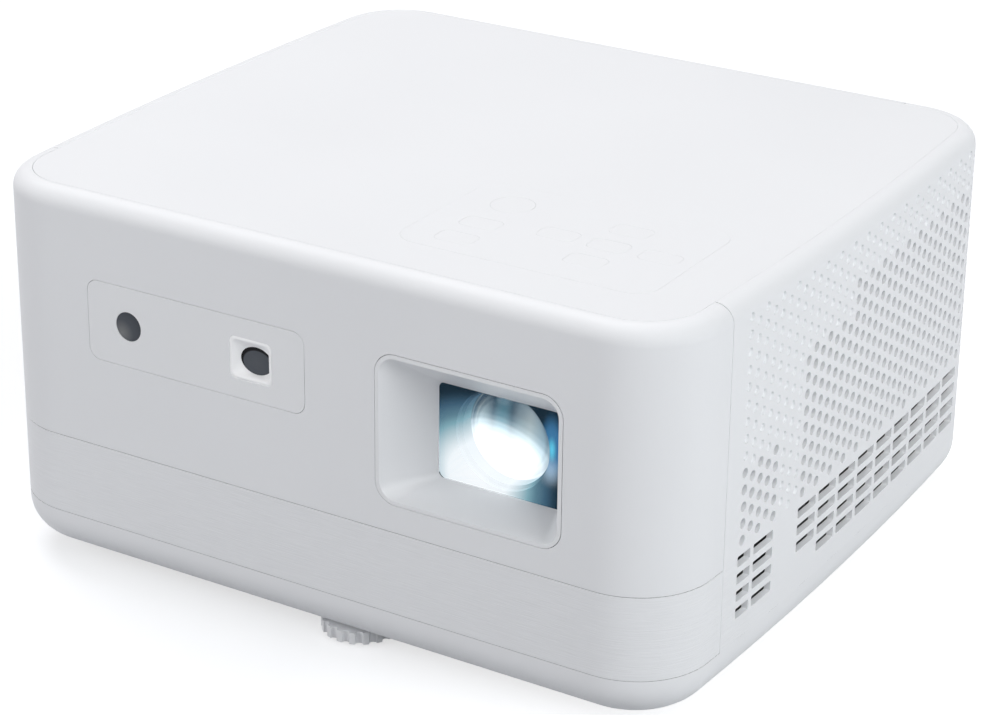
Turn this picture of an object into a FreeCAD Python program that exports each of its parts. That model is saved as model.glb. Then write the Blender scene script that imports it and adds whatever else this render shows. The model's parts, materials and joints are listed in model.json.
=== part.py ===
# Compact laser projector: a bulged rounded housing in separate covers, with its optics,
# cooling, keypad, sockets and feet. Millimetres, +Z up, z = 0 on the table, lens towards -Y.
import FreeCAD, Part
import math
import os

V = FreeCAD.Vector
os.makedirs("parts", exist_ok=True)

# ---- housing
WIDTH = 220.0  # over the bulged sides
DEPTH = 197.4
HEIGHT = 109.0  # from the underside to the top, without the feet
STAND = 4.5  # underside above the table
SIDE_BULGE = 3.27  # how far each side swells between front and back
CORNER_R = 22.1
TOP_EDGE_R = 5.0
BOTTOM_EDGE_R = 10.9
WALL = 2.7
INNER_CHAMFER = 0.75  # share of the inside radius that the tray's inner edge takes
SEAM = 0.16  # gap between neighbouring covers
PANEL_GAP = 0.1  # round the panels that are let into the covers
CUT = 1.0  # cutting shapes run this far past a surface
TRAY_H = 12.8  # underside to the seam over the base tray
BAND_TOP = 36.6  # underside to the seam over the textured band
FRONT_WRAP = 27.2  # front covers, from the front round to their seams on the sides
REAR_WRAP = 30.0  # side covers, from the sides round to their seams on the back

SIDE = WIDTH / 2
FRONT = -DEPTH / 2
BACK = DEPTH / 2
UNDER = STAND
ROOF = STAND + HEIGHT
FLOOR = UNDER + WALL  # inside of the tray
TRAY_TOP = UNDER + TRAY_H
BAND_SEAM = UNDER + BAND_TOP
FRONT_END_Y = FRONT + FRONT_WRAP
REAR_HALF_W = SIDE - REAR_WRAP
BULGE_R = ((DEPTH / 2) ** 2 + SIDE_BULGE**2) / (2 * SIDE_BULGE)

# ---- top panel and keypad
TOP_INSET = 5.5
TOP_T = 2.4
LEDGE_T = 2.0
LEDGE_W = 3.0
KEYPAD_X, KEYPAD_Y = SIDE - 60.3, FRONT + 45.8
KEYPAD_W, KEYPAD_D, KEYPAD_R = 75.4, 50.3, 7.0
KEYPAD_FLANGE_W, KEYPAD_FLANGE_T = 2.5, 1.2
KEY_GAP = 0.15
KEY_TRAVEL = 0.6
KEY_FLANGE_W, KEY_FLANGE_T = 0.8, 0.8
KEY_STEM_R = 1.5
KEY_ROUND_R = 6.0
KEY_SMALL_W, KEY_SMALL_D, KEY_SMALL_R = 11.0, 7.0, 2.0
KEY_PITCH_X, KEY_PITCH_Y = 15.0, 12.0
KEY_GROUP_DX = -23.0  # power, menu and source column from the keypad's middle
SOURCE_DY, MENU_DY = -4.0, -16.0
PAD_GROUP_DX = 13.0  # middle of the arrow cross from the keypad's middle
BOARD_T = 1.6
BOARD_DROP = 4.4  # keypad board below the keypad flange
PILLAR = 4.0  # square pillars between the keypad frame and its board

# ---- sensor panel on the front
SENSOR_X, SENSOR_Z = -37.8, 74.6
SENSOR_W, SENSOR_H, SENSOR_R = 73.7, 23.1, 3.5
SENSOR_T = 1.7
IR_X, IR_Z = SENSOR_X - 20.5, SENSOR_Z + 0.3
IR_R, IR_T, IR_SET_BACK = 4.2, 2.6, 0.3
IR_BODY_W, IR_BODY_H = 6.0, 7.0
EYE_X, EYE_Z = SENSOR_X + 19.75, SENSOR_Z - 0.05
EYE_W, EYE_H, EYE_R = 13.7, 12.1, 1.6
EYE_FLOOR_W, EYE_FLOOR_H, EYE_FLOOR_R = 9.6, 9.2, 0.8
EYE_DEPTH = 4.0
EYE_WALL = 1.4
EYE_LENS_R = 4.3
EYE_LENS_T = 2.6
SENSOR_BOARD_W, SENSOR_BOARD_H = 65.7, 21.1
PUSH_FIT = 0.02  # on the radius of a lens or window that is pushed into its seat

# ---- lens surround on the front
LENS_X, LENS_Z = SIDE - 59.4, 63.5
MOUTH_X, MOUTH_Z = LENS_X + 0.04, LENS_Z + 2.2
MOUTH_W, MOUTH_H, MOUTH_R = 57.7, 42.2, 6.0
MOUTH_LIP = 1.1
WINDOW_W, WINDOW_H, WINDOW_R = 34.5, 26.8, 1.5
FUNNEL_DEPTH = 11.0
FUNNEL_WALL = 1.8
GLASS_T = 1.5
GLASS_OVERLAP = 1.6
MASK_T, MASK_R = 1.5, 14.0  # black plate behind the glass and its round opening

# ---- grille
HOLE_R = 1.55
HOLE_PITCH = 4.752
COLUMN_PITCH = HOLE_PITCH * math.sqrt(3) / 2
HOLE_FIRST_Y, HOLE_FIRST_Z = FRONT_END_Y + 9.17, 41.88
LAST_COLUMN = int((BACK - CORNER_R - HOLE_FIRST_Y) / COLUMN_PITCH)
# first column, last column, holes in an even column, holes in an odd one
RIGHT_HOLES = ((0, 4, 5, 4), (8, 14, 9, 9), (15, LAST_COLUMN, 11, 11))
LEFT_HOLES = RIGHT_HOLES[:2]
SLOT_H, SLOT_PITCH, SLOT_TOP_Z, SLOT_ROWS = 3.0, 5.0, 37.3, 4
SLOT_STEP = 12.35
SLOT_W = 10.5
SLOT_SHORT_Y, SLOT_SHORT_W = FRONT_END_Y + 7.3, 6.7
SLOT_FRONT_Y = FRONT_END_Y + 15.7
SLOT_MAIN_Y = FRONT_END_Y + 40.2
SLOT_REACH = 2.0  # the last slot may run this far into the corner
SLOT_MAIN_COUNT = int((BACK - CORNER_R + SLOT_REACH - SLOT_MAIN_Y - SLOT_W) / SLOT_STEP) + 1

# ---- optics, along the lens axis
FRONT_LENS_R = 13.2
CELL_R = 14.9  # moving cell that holds the front lens
CELL_LENGTH = 22.0
CELL_FLANGE_T = 2.5
CELL_EAR, CELL_EAR_H = 30.0, 8.0  # reach of the ears from the lens axis, and their height
FOCUS_TRAVEL = 3.0
FOCUS_PITCH = 1.0  # travel of the cell for one turn of the screw
RUN_GAP = 0.05  # radial clearance of a running fit
BARREL_WALL = 2.5
GUIDE_OFFSET = 26.0  # guide rod and screw, each side of the lens axis
GUIDE_R = 1.5
LENS_START = 16.5  # front of the cell behind the housing's front
LENS_EDGE, FRONT_CROWN, REAR_CROWN, LENS_SET_BACK = 3.0, 3.4, 2.0, 0.4
STOP_GAP = 1.0  # left between the cell and what lies behind it at the end of its travel
ROD_NOSE = 1.0  # guide rod and screw in front of the cell
ENGINE_FRONT = 50.0  # flange behind the housing's front
ENGINE_FLANGE_T = 3.0
ENGINE_W, ENGINE_D, ENGINE_H, ENGINE_R = 46.0, 50.0, 38.0, 6.0
ENGINE_FLANGE_W, ENGINE_FLANGE_H = 70.0, 42.0
MOTOR_R, MOTOR_LENGTH, MOTOR_BORE = 7.5, 13.0, 8.0
BORE_END = 1.0  # bottom clearance of a shaft in its bore
CHIP_BOARD_W, CHIP_BOARD_H = 40.0, 44.0

# ---- light source
LASER_W, LASER_D, LASER_H = 38.0, 40.0, 34.0
LASER_X1 = LENS_X - 48.6
LASER_X0 = LASER_X1 - LASER_W
LASER_POST_IN = 4.0  # posts in from the ends of the laser module
ENGINE_POST_IN = 2.0
WHEEL_R, WHEEL_T = 17.5, 1.0
WHEEL_GAP = 2.0
WHEEL_MOTOR_R, WHEEL_MOTOR_LENGTH, WHEEL_BORE = 8.0, 9.0, 6.0
SHAFT_R = 1.5
FIN_T, FIN_PITCH, FIN_LENGTH = 1.2, 5.0, 18.0
SINK_BASE_T = 3.0

# ---- cooling
FAN_SIZE, FAN_T = 80.0, 15.0
FAN_SIDE_GAP = 8.8  # fan frame to the inside of the side cover
FAN_X, FAN_Y = SIDE - WALL - FAN_SIDE_GAP - FAN_T / 2, 28.0  # middle of the right fan
FAN_BORE_R = 38.0
FAN_TIP_GAP = 1.5
FAN_HUB_R, FAN_BOSS_R = 15.0, 10.0
FAN_BLADES = 7
BLADE_T = 1.2
BLADE_PITCH_DEG = 35.0
FAN_PLATE_T = 2.0
HUB_GAP, HUB_SET_BACK = 0.6, 1.0
FAN_LIFT = 3.5  # fan frame over the tray floor, on its rail

# ---- boards and sockets
DECK = 14.0  # underside of the housing to the boards
MAIN_FAN_GAP, POWER_FAN_GAP = 7.5, 5.5
MAIN_X0, MAIN_X1, MAIN_Y0 = -22.0, FAN_X - FAN_T / 2 - MAIN_FAN_GAP, 22.0
POWER_W = 50.0
POWER_X0, POWER_Y0 = -FAN_X + FAN_T / 2 + POWER_FAN_GAP, 8.0
POWER_X1 = POWER_X0 + POWER_W
TRANSFORMER_W, TRANSFORMER_D, TRANSFORMER_H, TRANSFORMER_Y = 28.0, 24.0, 22.0, POWER_Y0 + 14.0
POST = 6.0
AUDIO_X = MAIN_X1 - 11.0
USB_X = AUDIO_X - 16.0
HDMI_X = (USB_X - 41.0, USB_X - 19.0)
HDMI_W, HDMI_H = 14.2, 4.8
USB_W, USB_H = 12.6, 5.6
TONGUE_T, TONGUE_SET_BACK = 1.2, 1.5
SHELL_BACK_T = 2.0
FLUSH = 0.2  # sockets behind the rear face
SHELL_T = 0.6
SOCKET_D = 12.0
AUDIO_R, AUDIO_BODY, AUDIO_NOSE_R = 1.8, 6.4, 2.5
INLET_X, INLET_W, INLET_H, INLET_WALL = POWER_X0 + 25.0, 18.4, 9.2, 1.6
INLET_R, WELL_R = 1.7, 4.5
INLET_D, INLET_DEPTH = 16.0, 12.5
PIN_R, PIN_PITCH, PIN_LENGTH = 1.2, 8.6, 9.5
SOCKET_FIT = 0.3  # round each socket in the rear cover
SOCKET_HOLE_R = 0.8
SPEAKER_W, SPEAKER_D, SPEAKER_H = 26.0, 34.0, 52.0
SPEAKER_SIDE_GAP = 9.3
SPEAKER_X, SPEAKER_Y = -(SIDE - WALL - SPEAKER_SIDE_GAP - SPEAKER_W / 2), FRONT + 46.7
CONE_R, CONE_TIP_R, CONE_H, CONE_WELL = 13.0, 3.0, 5.0, 6.0

# ---- underside
FOOT_X, FOOT_Y = 6.0, FRONT + 15.2
FOOT_R, FOOT_SCALLOPS, FOOT_SCALLOP_R = 11.0, 18, 1.1
FOOT_KNOB_T = 3.4
FOOT_PAD_R, FOOT_PAD_T, FOOT_PAD_GAP = 8.5, 0.8, 0.1
FOOT_SPIGOT_R, FOOT_SPIGOT_H, SPIGOT_END = 2.2, 2.6, 0.2
STUD_R, STUD_H = 4.0, 13.0
FOOT_BOSS_WALL = 2.5
REAR_FOOT_X, REAR_FOOT_Y, REAR_FOOT_R = SIDE - 28.0, BACK - 22.7, 7.0
MOUNT_X, MOUNT_Y = 55.0, 45.0  # half spacing of the ceiling mount inserts
FRONT_SCREW_X, FRONT_SCREW_Y = SIDE - 26.0, FRONT + 20.7
REAR_SCREW_X, REAR_SCREW_Y = SIDE - 50.0, BACK - 14.7
CASE_SCREWS = ((-FRONT_SCREW_X, FRONT_SCREW_Y), (FRONT_SCREW_X, FRONT_SCREW_Y),
               (-REAR_SCREW_X, REAR_SCREW_Y), (REAR_SCREW_X, REAR_SCREW_Y))
SCREW_HEAD_R, SCREW_HEAD_T, SCREW_R, SCREW_LENGTH = 2.8, 1.6, 1.3, 8.0
SCREW_WELL_R, SCREW_WELL_H, SCREW_BOSS = 3.4, 5.0, 10.0
INSERT_BORE_R, INSERT_R, INSERT_H = 1.65, 3.0, 7.0
INSERT_BOSS = 10.0


def export(name, *solids):
    shape = solids[0] if len(solids) == 1 else Part.makeCompound(list(solids))
    shape.exportStep(f"parts/{name}.step")


def block(x0, x1, y0, y1, z0, z1):
    return Part.makeBox(x1 - x0, y1 - y0, z1 - z0, V(x0, y0, z0))


def rod(radius, start, end):
    return Part.makeCylinder(radius, (end - start).Length, start, end - start)


def outline(width, height, radius, place):
    """Closed rounded rectangle. place turns two flat coordinates into a point."""
    a, b, r = width / 2, height / 2, radius
    k = r * (1 - math.sqrt(0.5))
    edges = []
    for sx, sy, ccw in ((1, 1, True), (-1, 1, False), (-1, -1, True), (1, -1, False)):
        side = place(sx * a, sy * (b - r))
        end = place(sx * (a - r), sy * b)
        middle = place(sx * (a - k), sy * (b - k))
        first, last = (side, end) if ccw else (end, side)
        edges.append((first, middle, last))
    lines = []
    for n, (first, middle, last) in enumerate(edges):
        lines.append(Part.Arc(first, middle, last).toShape())
        lines.append(Part.LineSegment(last, edges[(n + 1) % 4][0]).toShape())
    return Part.Wire(lines)


def front_outline(x, z, width, height, radius, y):
    return outline(width, height, radius, lambda u, v: V(x + u, y, z + v))


def top_outline(x, y, width, depth, radius, z):
    return outline(width, depth, radius, lambda u, v: V(x + u, y + v, z))


def prism(wire, travel):
    return Part.Face(wire).extrude(travel)


def plate_front(x, z, width, height, radius, y0, y1):
    return prism(front_outline(x, z, width, height, radius, y0), V(0, y1 - y0, 0))


def plate_top(x, y, width, depth, radius, z0, z1):
    return prism(top_outline(x, y, width, depth, radius, z0), V(0, 0, z1 - z0))


def side_x(y, inset=0.0):
    """Right-hand face of the bulged plan at a depth y."""
    return SIDE - BULGE_R + math.sqrt((BULGE_R - inset) ** 2 - y * y)


def plan_solid(inset, z0, z1):
    """Upright solid on the housing's plan, moved in by inset all round."""
    back = BACK - inset
    middle, end = side_x(0, inset), side_x(back, inset)
    corners = [V(-end, -back, z0), V(end, -back, z0), V(end, back, z0), V(-end, back, z0)]
    wire = Part.Wire([
        Part.LineSegment(corners[0], corners[1]).toShape(),
        Part.Arc(corners[1], V(middle, 0, z0), corners[2]).toShape(),
        Part.LineSegment(corners[2], corners[3]).toShape(),
        Part.Arc(corners[3], V(-middle, 0, z0), corners[0]).toShape(),
    ])
    solid = prism(wire, V(0, 0, z1 - z0))
    upright = [e for e in solid.Edges if e.BoundBox.ZLength > (z1 - z0) / 2]
    return solid.makeFillet(CORNER_R - inset, upright)


def rim(solid, z):
    """Edges of a solid that lie in the level plane z."""
    flat = 0.001
    return [e for e in solid.Edges if e.BoundBox.ZLength < flat and abs(e.BoundBox.ZMin - z) < flat]


def housing_shell():
    outer = plan_solid(0, UNDER, ROOF)
    outer = outer.makeFillet(TOP_EDGE_R, rim(outer, ROOF))
    outer = outer.makeFillet(BOTTOM_EDGE_R, rim(outer, UNDER))
    cavity = plan_solid(WALL, FLOOR, ROOF - TOP_T - LEDGE_T)
    cavity = cavity.makeChamfer((BOTTOM_EDGE_R - WALL) * INNER_CHAMFER, rim(cavity, FLOOR))
    panel_seat = plan_solid(TOP_INSET, ROOF - TOP_T, ROOF + CUT)
    panel_hole = plan_solid(TOP_INSET + LEDGE_W, ROOF - TOP_T - LEDGE_T - CUT, ROOF)
    return outer.cut(cavity).cut(panel_seat).cut(panel_hole)


def socket_holes():
    """Openings of the rear cover, each wider than its socket by the fit."""
    fit = 2 * SOCKET_FIT
    z = UNDER + DECK + BOARD_T
    through = (BACK - WALL - CUT, BACK + CUT)
    holes = [plate_front(x, z + HDMI_H / 2, HDMI_W + fit, HDMI_H + fit, SOCKET_HOLE_R, *through)
             for x in HDMI_X]
    holes.append(plate_front(USB_X, z + USB_H / 2, USB_W + fit, USB_H + fit, SOCKET_HOLE_R, *through))
    holes.append(plate_front(INLET_X, inlet_z(), INLET_W + 2 * INLET_WALL + fit,
                             INLET_H + 2 * INLET_WALL + fit, INLET_R + SOCKET_FIT, *through))
    ends = [V(AUDIO_X, y, z + AUDIO_BODY / 2) for y in through]
    holes.append(rod(AUDIO_NOSE_R + SOCKET_FIT, *ends))
    return holes


def inlet_z():
    return UNDER + DECK + BOARD_T + INLET_H / 2 + INLET_WALL


def hex_hole(y, z, side):
    """Six-sided hole through one side wall, points up and down."""
    x0 = side * (side_x(BACK) - 2 * WALL)
    points = [V(x0, y + HOLE_R * math.sin(math.radians(60 * n)), z + HOLE_R * math.cos(math.radians(60 * n)))
              for n in range(6)]
    return prism(Part.makePolygon(points + points[:1]), V(side * 4 * WALL, 0, 0))


def grille_holes(fields, side):
    holes = []
    for first, last, even_rows, odd_rows in fields:
        for column in range(first, last + 1):
            odd = column % 2
            for row in range(odd_rows if odd else even_rows):
                y = HOLE_FIRST_Y + COLUMN_PITCH * column
                z = UNDER + HOLE_FIRST_Z + HOLE_PITCH * (row + odd / 2)
                holes.append(hex_hole(y, z, side))
    return holes


def grille_slots(side):
    columns = [(SLOT_SHORT_Y, SLOT_SHORT_W, SLOT_ROWS), (SLOT_FRONT_Y, SLOT_W, SLOT_ROWS)]
    for n in range(SLOT_MAIN_COUNT):
        columns.append((SLOT_MAIN_Y + SLOT_STEP * n, SLOT_W, SLOT_ROWS - 1 if n == 0 else SLOT_ROWS))
    x = sorted((side * (side_x(BACK) - 2 * WALL), side * (SIDE + CUT)))
    slots = []
    for y, width, rows in columns:
        for row in range(rows):
            top = UNDER + SLOT_TOP_Z - SLOT_PITCH * row
            slots.append(block(*x, y, y + width, top - SLOT_H, top))
    return slots


def covers(shell):
    """Cuts the shell along its seams into the tray and the covers."""
    g = SEAM / 2
    far = WIDTH
    tray = shell.common(block(-far, far, -far, far, 0, TRAY_TOP - g))
    front = block(-far, far, -far, FRONT_END_Y - g, TRAY_TOP + g, ROOF + CUT)
    front_part = shell.common(front)
    band = front_part.common(block(-far, far, -far, far, 0, BAND_SEAM - g))
    face = front_part.common(block(-far, far, -far, far, BAND_SEAM + g, ROOF + CUT))
    rest = shell.common(block(-far, far, FRONT_END_Y + g, far, TRAY_TOP + g, ROOF + CUT))
    rear = rest.common(block(-REAR_HALF_W + g, REAR_HALF_W - g, BACK / 2, far, 0, ROOF + CUT))
    sides = rest.cut(block(-REAR_HALF_W - g, REAR_HALF_W + g, BACK / 2, far, 0, ROOF + CUT))
    right = sides.common(block(0, far, -far, far, 0, ROOF + CUT))
    left = sides.common(block(-far, 0, -far, far, 0, ROOF + CUT))
    return tray, band, face, right, left, rear


def board_posts():
    """Posts of the tray under the two boards, square in plan."""
    posts = []
    for x0, x1, y0 in ((MAIN_X0, MAIN_X1, MAIN_Y0), (POWER_X0, POWER_X1, POWER_Y0)):
        for x in (x0, x1 - POST):
            for y in (y0, BACK - BOTTOM_EDGE_R - POST):
                posts.append(block(x, x + POST, y, y + POST, FLOOR, UNDER + DECK))
    return posts


def base_tray(tray):
    boss_top = UNDER + STUD_H + CUT
    foot_boss = rod(STUD_R + FOOT_BOSS_WALL, V(FOOT_X, FOOT_Y, UNDER), V(FOOT_X, FOOT_Y, boss_top))
    tray = tray.fuse([foot_boss] + board_posts() + fan_rails() + engine_posts())
    tray = tray.cut(rod(STUD_R + RUN_GAP, V(FOOT_X, FOOT_Y, 0), V(FOOT_X, FOOT_Y, boss_top + CUT)))
    for x, y in mount_points():
        boss = INSERT_BOSS / 2
        tray = tray.fuse(block(x - boss, x + boss, y - boss, y + boss, FLOOR, UNDER + INSERT_H))
        tray = tray.cut(rod(INSERT_R, V(x, y, 0), V(x, y, UNDER + INSERT_H + CUT)))
    half = SCREW_BOSS / 2
    seat = UNDER + SCREW_WELL_H
    for x, y in CASE_SCREWS:
        tray = tray.fuse(block(x - half, x + half, y - half, y + half, FLOOR, seat + SCREW_LENGTH))
        tray = tray.cut(rod(SCREW_WELL_R, V(x, y, 0), V(x, y, seat)))
        tray = tray.cut(rod(SCREW_R, V(x, y, seat - CUT), V(x, y, seat + SCREW_LENGTH - CUT)))
    return tray.removeSplitter()


def case_screws():
    """Screws that close the housing, sunk in wells of the tray."""
    seat = UNDER + SCREW_WELL_H
    screws = []
    for x, y in CASE_SCREWS:
        head = rod(SCREW_HEAD_R, V(x, y, seat - SCREW_HEAD_T), V(x, y, seat))
        shank = rod(SCREW_R, V(x, y, seat), V(x, y, seat + SCREW_LENGTH - CUT))
        screws.append(head.fuse(shank).removeSplitter())
    return screws


def mount_points():
    return [(sx * MOUNT_X, sy * MOUNT_Y) for sx in (-1, 1) for sy in (-1, 1)]


def inserts():
    rings = []
    for x, y in mount_points():
        ring = rod(INSERT_R, V(x, y, UNDER), V(x, y, UNDER + INSERT_H))
        rings.append(ring.cut(rod(INSERT_BORE_R, V(x, y, 0), V(x, y, UNDER + INSERT_H + CUT))))
    return rings


def fan_rails():
    """Low rail of the tray under each fan frame."""
    half = FAN_SIZE / 2
    rails = []
    for side in (-1, 1):
        x0, x1 = sorted((side * (FAN_X - FAN_T / 2), side * (FAN_X + FAN_T / 2)))
        for y in (FAN_Y - half, FAN_Y + half - POST):
            rails.append(block(x0, x1, y, y + POST, FLOOR, FLOOR + FAN_LIFT))
    return rails


def fan_frame(side):
    half = FAN_SIZE / 2
    z = FLOOR + FAN_LIFT + half
    x_in, x_out = side * (FAN_X - FAN_T / 2), side * (FAN_X + FAN_T / 2)
    x0, x1 = sorted((x_in, x_out))
    frame = block(x0, x1, FAN_Y - half, FAN_Y + half, z - half, z + half)
    frame = frame.cut(rod(FAN_BORE_R, V(x0 - CUT, FAN_Y, z), V(x1 + CUT, FAN_Y, z)))
    plate_end = x_in + side * FAN_PLATE_T
    boss = rod(FAN_BOSS_R, V(x_in, FAN_Y, z), V(plate_end, FAN_Y, z))
    p0, p1 = sorted((x_in, plate_end))
    strut = 2 * SHAFT_R
    struts = [block(p0, p1, FAN_Y - half, FAN_Y + half, z - strut, z + strut),
              block(p0, p1, FAN_Y - strut, FAN_Y + strut, z - half, z + half)]
    frame = frame.fuse([boss] + struts)
    bearing = rod(SHAFT_R + RUN_GAP, V(p0 - CUT, FAN_Y, z), V(p1 + CUT, FAN_Y, z))
    return frame.cut(bearing).removeSplitter()


def fan_rotor(side):
    z = FLOOR + FAN_LIFT + FAN_SIZE / 2
    x_in = side * (FAN_X - FAN_T / 2)
    hub_start = x_in + side * (FAN_PLATE_T + HUB_GAP)
    hub_end = side * (FAN_X + FAN_T / 2 - HUB_SET_BACK)
    hub = rod(FAN_HUB_R, V(hub_start, FAN_Y, z), V(hub_end, FAN_Y, z))
    shaft = rod(SHAFT_R, V(x_in, FAN_Y, z), V(hub_start, FAN_Y, z))
    middle = (hub_start + hub_end) / 2
    chord = (abs(hub_end - hub_start) - BLADE_T) / math.cos(math.radians(BLADE_PITCH_DEG))
    tip = FAN_BORE_R - FAN_TIP_GAP
    blade = block(-chord / 2, chord / 2, -BLADE_T / 2, BLADE_T / 2, FAN_HUB_R - CUT, tip)
    blade.rotate(V(0, 0, 0), V(0, 0, 1), side * BLADE_PITCH_DEG)
    keep = rod(tip, V(-FAN_T, 0, 0), V(FAN_T, 0, 0))
    blade = blade.common(keep)
    blades = []
    for n in range(FAN_BLADES):
        copy = blade.copy()
        copy.rotate(V(0, 0, 0), V(1, 0, 0), 360.0 * n / FAN_BLADES)
        copy.translate(V(middle, FAN_Y, z))
        blades.append(copy)
    return hub.fuse([shaft] + blades).removeSplitter()


def sensor_panel_cut():
    """Recess and openings that the sensor panel takes in the front cover."""
    y_face = FRONT - CUT
    recess = plate_front(SENSOR_X, UNDER + SENSOR_Z, SENSOR_W + 2 * PANEL_GAP, SENSOR_H + 2 * PANEL_GAP,
                         SENSOR_R + PANEL_GAP, y_face, FRONT + SENSOR_T)
    eye = plate_front(EYE_X, UNDER + EYE_Z, EYE_W + 2 * EYE_WALL + 2 * PANEL_GAP,
                      EYE_H + 2 * EYE_WALL + 2 * PANEL_GAP, EYE_R, y_face, FRONT + WALL + CUT)
    ir = rod(IR_R + PANEL_GAP, V(IR_X, y_face, UNDER + IR_Z), V(IR_X, FRONT + WALL + CUT, UNDER + IR_Z))
    return [recess, eye, ir]


def lens_opening():
    return plate_front(MOUTH_X, UNDER + MOUTH_Z, MOUTH_W + 2 * PANEL_GAP, MOUTH_H + 2 * PANEL_GAP,
                       MOUTH_R + PANEL_GAP, FRONT - CUT, FRONT + WALL + CUT)


def sensor_panel():
    z = UNDER + EYE_Z
    panel = plate_front(SENSOR_X, UNDER + SENSOR_Z, SENSOR_W, SENSOR_H, SENSOR_R, FRONT, FRONT + SENSOR_T)
    depth = EYE_DEPTH + EYE_WALL
    tunnel = plate_front(EYE_X, z, EYE_W + 2 * EYE_WALL, EYE_H + 2 * EYE_WALL, EYE_R, FRONT, FRONT + depth)
    mouth = front_outline(EYE_X, z, EYE_W, EYE_H, EYE_R, FRONT - 0.01)
    floor = front_outline(EYE_X, z, EYE_FLOOR_W, EYE_FLOOR_H, EYE_FLOOR_R, FRONT + EYE_DEPTH)
    funnel = Part.makeLoft([mouth, floor], True, True)
    eye_hole = rod(EYE_LENS_R + PANEL_GAP, V(EYE_X, FRONT, z), V(EYE_X, FRONT + depth + CUT, z))
    ir_hole = rod(IR_R, V(IR_X, FRONT - CUT, UNDER + IR_Z), V(IR_X, FRONT + WALL, UNDER + IR_Z))
    return panel.fuse(tunnel).cut(funnel).cut(eye_hole).cut(ir_hole).removeSplitter()


def lens_surround():
    z = UNDER + MOUTH_Z
    lens_z = UNDER + LENS_Z
    wall = 2 * FUNNEL_WALL
    back = FRONT + FUNNEL_DEPTH + FUNNEL_WALL
    sleeve = plate_front(MOUTH_X, z, MOUTH_W, MOUTH_H, MOUTH_R, FRONT, FRONT + WALL)
    outside = Part.makeLoft([
        front_outline(MOUTH_X, z, MOUTH_W, MOUTH_H, MOUTH_R, FRONT + WALL),
        front_outline(LENS_X, lens_z, WINDOW_W + wall, WINDOW_H + wall, WINDOW_R + FUNNEL_WALL, back),
    ], True, True)
    inside = Part.makeLoft([
        front_outline(MOUTH_X, z, MOUTH_W - 2 * MOUTH_LIP, MOUTH_H - 2 * MOUTH_LIP,
                      MOUTH_R - MOUTH_LIP, FRONT - 0.01),
        front_outline(LENS_X, lens_z, WINDOW_W, WINDOW_H, WINDOW_R, FRONT + FUNNEL_DEPTH),
    ], True, True)
    window = plate_front(LENS_X, lens_z, WINDOW_W, WINDOW_H, WINDOW_R, FRONT + CUT, back + CUT)
    return sleeve.fuse(outside).cut(inside).cut(window).removeSplitter()


def window_glass():
    y = FRONT + FUNNEL_DEPTH + FUNNEL_WALL
    extra = 2 * GLASS_OVERLAP
    return plate_front(LENS_X, UNDER + LENS_Z, WINDOW_W + extra, WINDOW_H + extra, WINDOW_R, y, y + GLASS_T)


def lens_mask():
    """Black plate on the back of the glass, open in front of the lens."""
    y = FUNNEL_DEPTH + FUNNEL_WALL + GLASS_T
    extra = 2 * GLASS_OVERLAP
    plate = plate_front(LENS_X, UNDER + LENS_Z, WINDOW_W + extra, WINDOW_H + extra, WINDOW_R,
                        FRONT + y, FRONT + y + MASK_T)
    return plate.cut(rod(MASK_R, lens_point(y - CUT), lens_point(y + MASK_T + CUT)))


def lens_point(y, dx=0.0):
    return V(LENS_X + dx, FRONT + y, UNDER + LENS_Z)


def focus_cell():
    """Sliding tube of the front lens, with an ear for the guide rod and one for the screw."""
    start = LENS_START
    tube = rod(CELL_R, lens_point(start), lens_point(start + CELL_LENGTH))
    z = UNDER + LENS_Z
    ears = block(LENS_X - CELL_EAR, LENS_X + CELL_EAR, FRONT + start, FRONT + start + CELL_FLANGE_T,
                 z - CELL_EAR_H / 2, z + CELL_EAR_H / 2)
    cell = tube.fuse(ears)
    bore_end = start + CELL_LENGTH + CUT
    cell = cell.cut(rod(FRONT_LENS_R, lens_point(start - CUT), lens_point(bore_end)))
    ear_end = start + CELL_FLANGE_T + CUT
    for dx in (-GUIDE_OFFSET, GUIDE_OFFSET):
        cell = cell.cut(rod(GUIDE_R + RUN_GAP, lens_point(start - CUT, dx), lens_point(ear_end, dx)))
    return cell.removeSplitter()


def glass_element(radius, start, edge, crown):
    """Lens with one domed face towards the front."""
    tip, rim_y = FRONT + start, FRONT + start + crown
    end = rim_y + edge
    z = UNDER + LENS_Z
    bow = (radius * radius + crown * crown) / (2 * crown)
    half = math.asin(radius / bow) / 2
    on_arc = V(LENS_X + bow * math.sin(half), tip + bow * (1 - math.cos(half)), z)
    wire = Part.Wire([
        Part.Arc(V(LENS_X, tip, z), on_arc, V(LENS_X + radius, rim_y, z)).toShape(),
        Part.LineSegment(V(LENS_X + radius, rim_y, z), V(LENS_X + radius, end, z)).toShape(),
        Part.LineSegment(V(LENS_X + radius, end, z), V(LENS_X, end, z)).toShape(),
        Part.LineSegment(V(LENS_X, end, z), V(LENS_X, tip, z)).toShape(),
    ])
    return Part.Face(wire).revolve(V(LENS_X, tip, z), V(0, 1, 0), 360)


def lens_barrel():
    """Fixed tube that the cell slides in, on the engine's flange."""
    start = LENS_START + CELL_FLANGE_T + FOCUS_TRAVEL + STOP_GAP
    outer = CELL_R + RUN_GAP + BARREL_WALL
    tube = rod(outer, lens_point(start), lens_point(ENGINE_FRONT))
    return tube.cut(rod(CELL_R + RUN_GAP, lens_point(start - CUT), lens_point(ENGINE_FRONT + CUT)))


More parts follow.
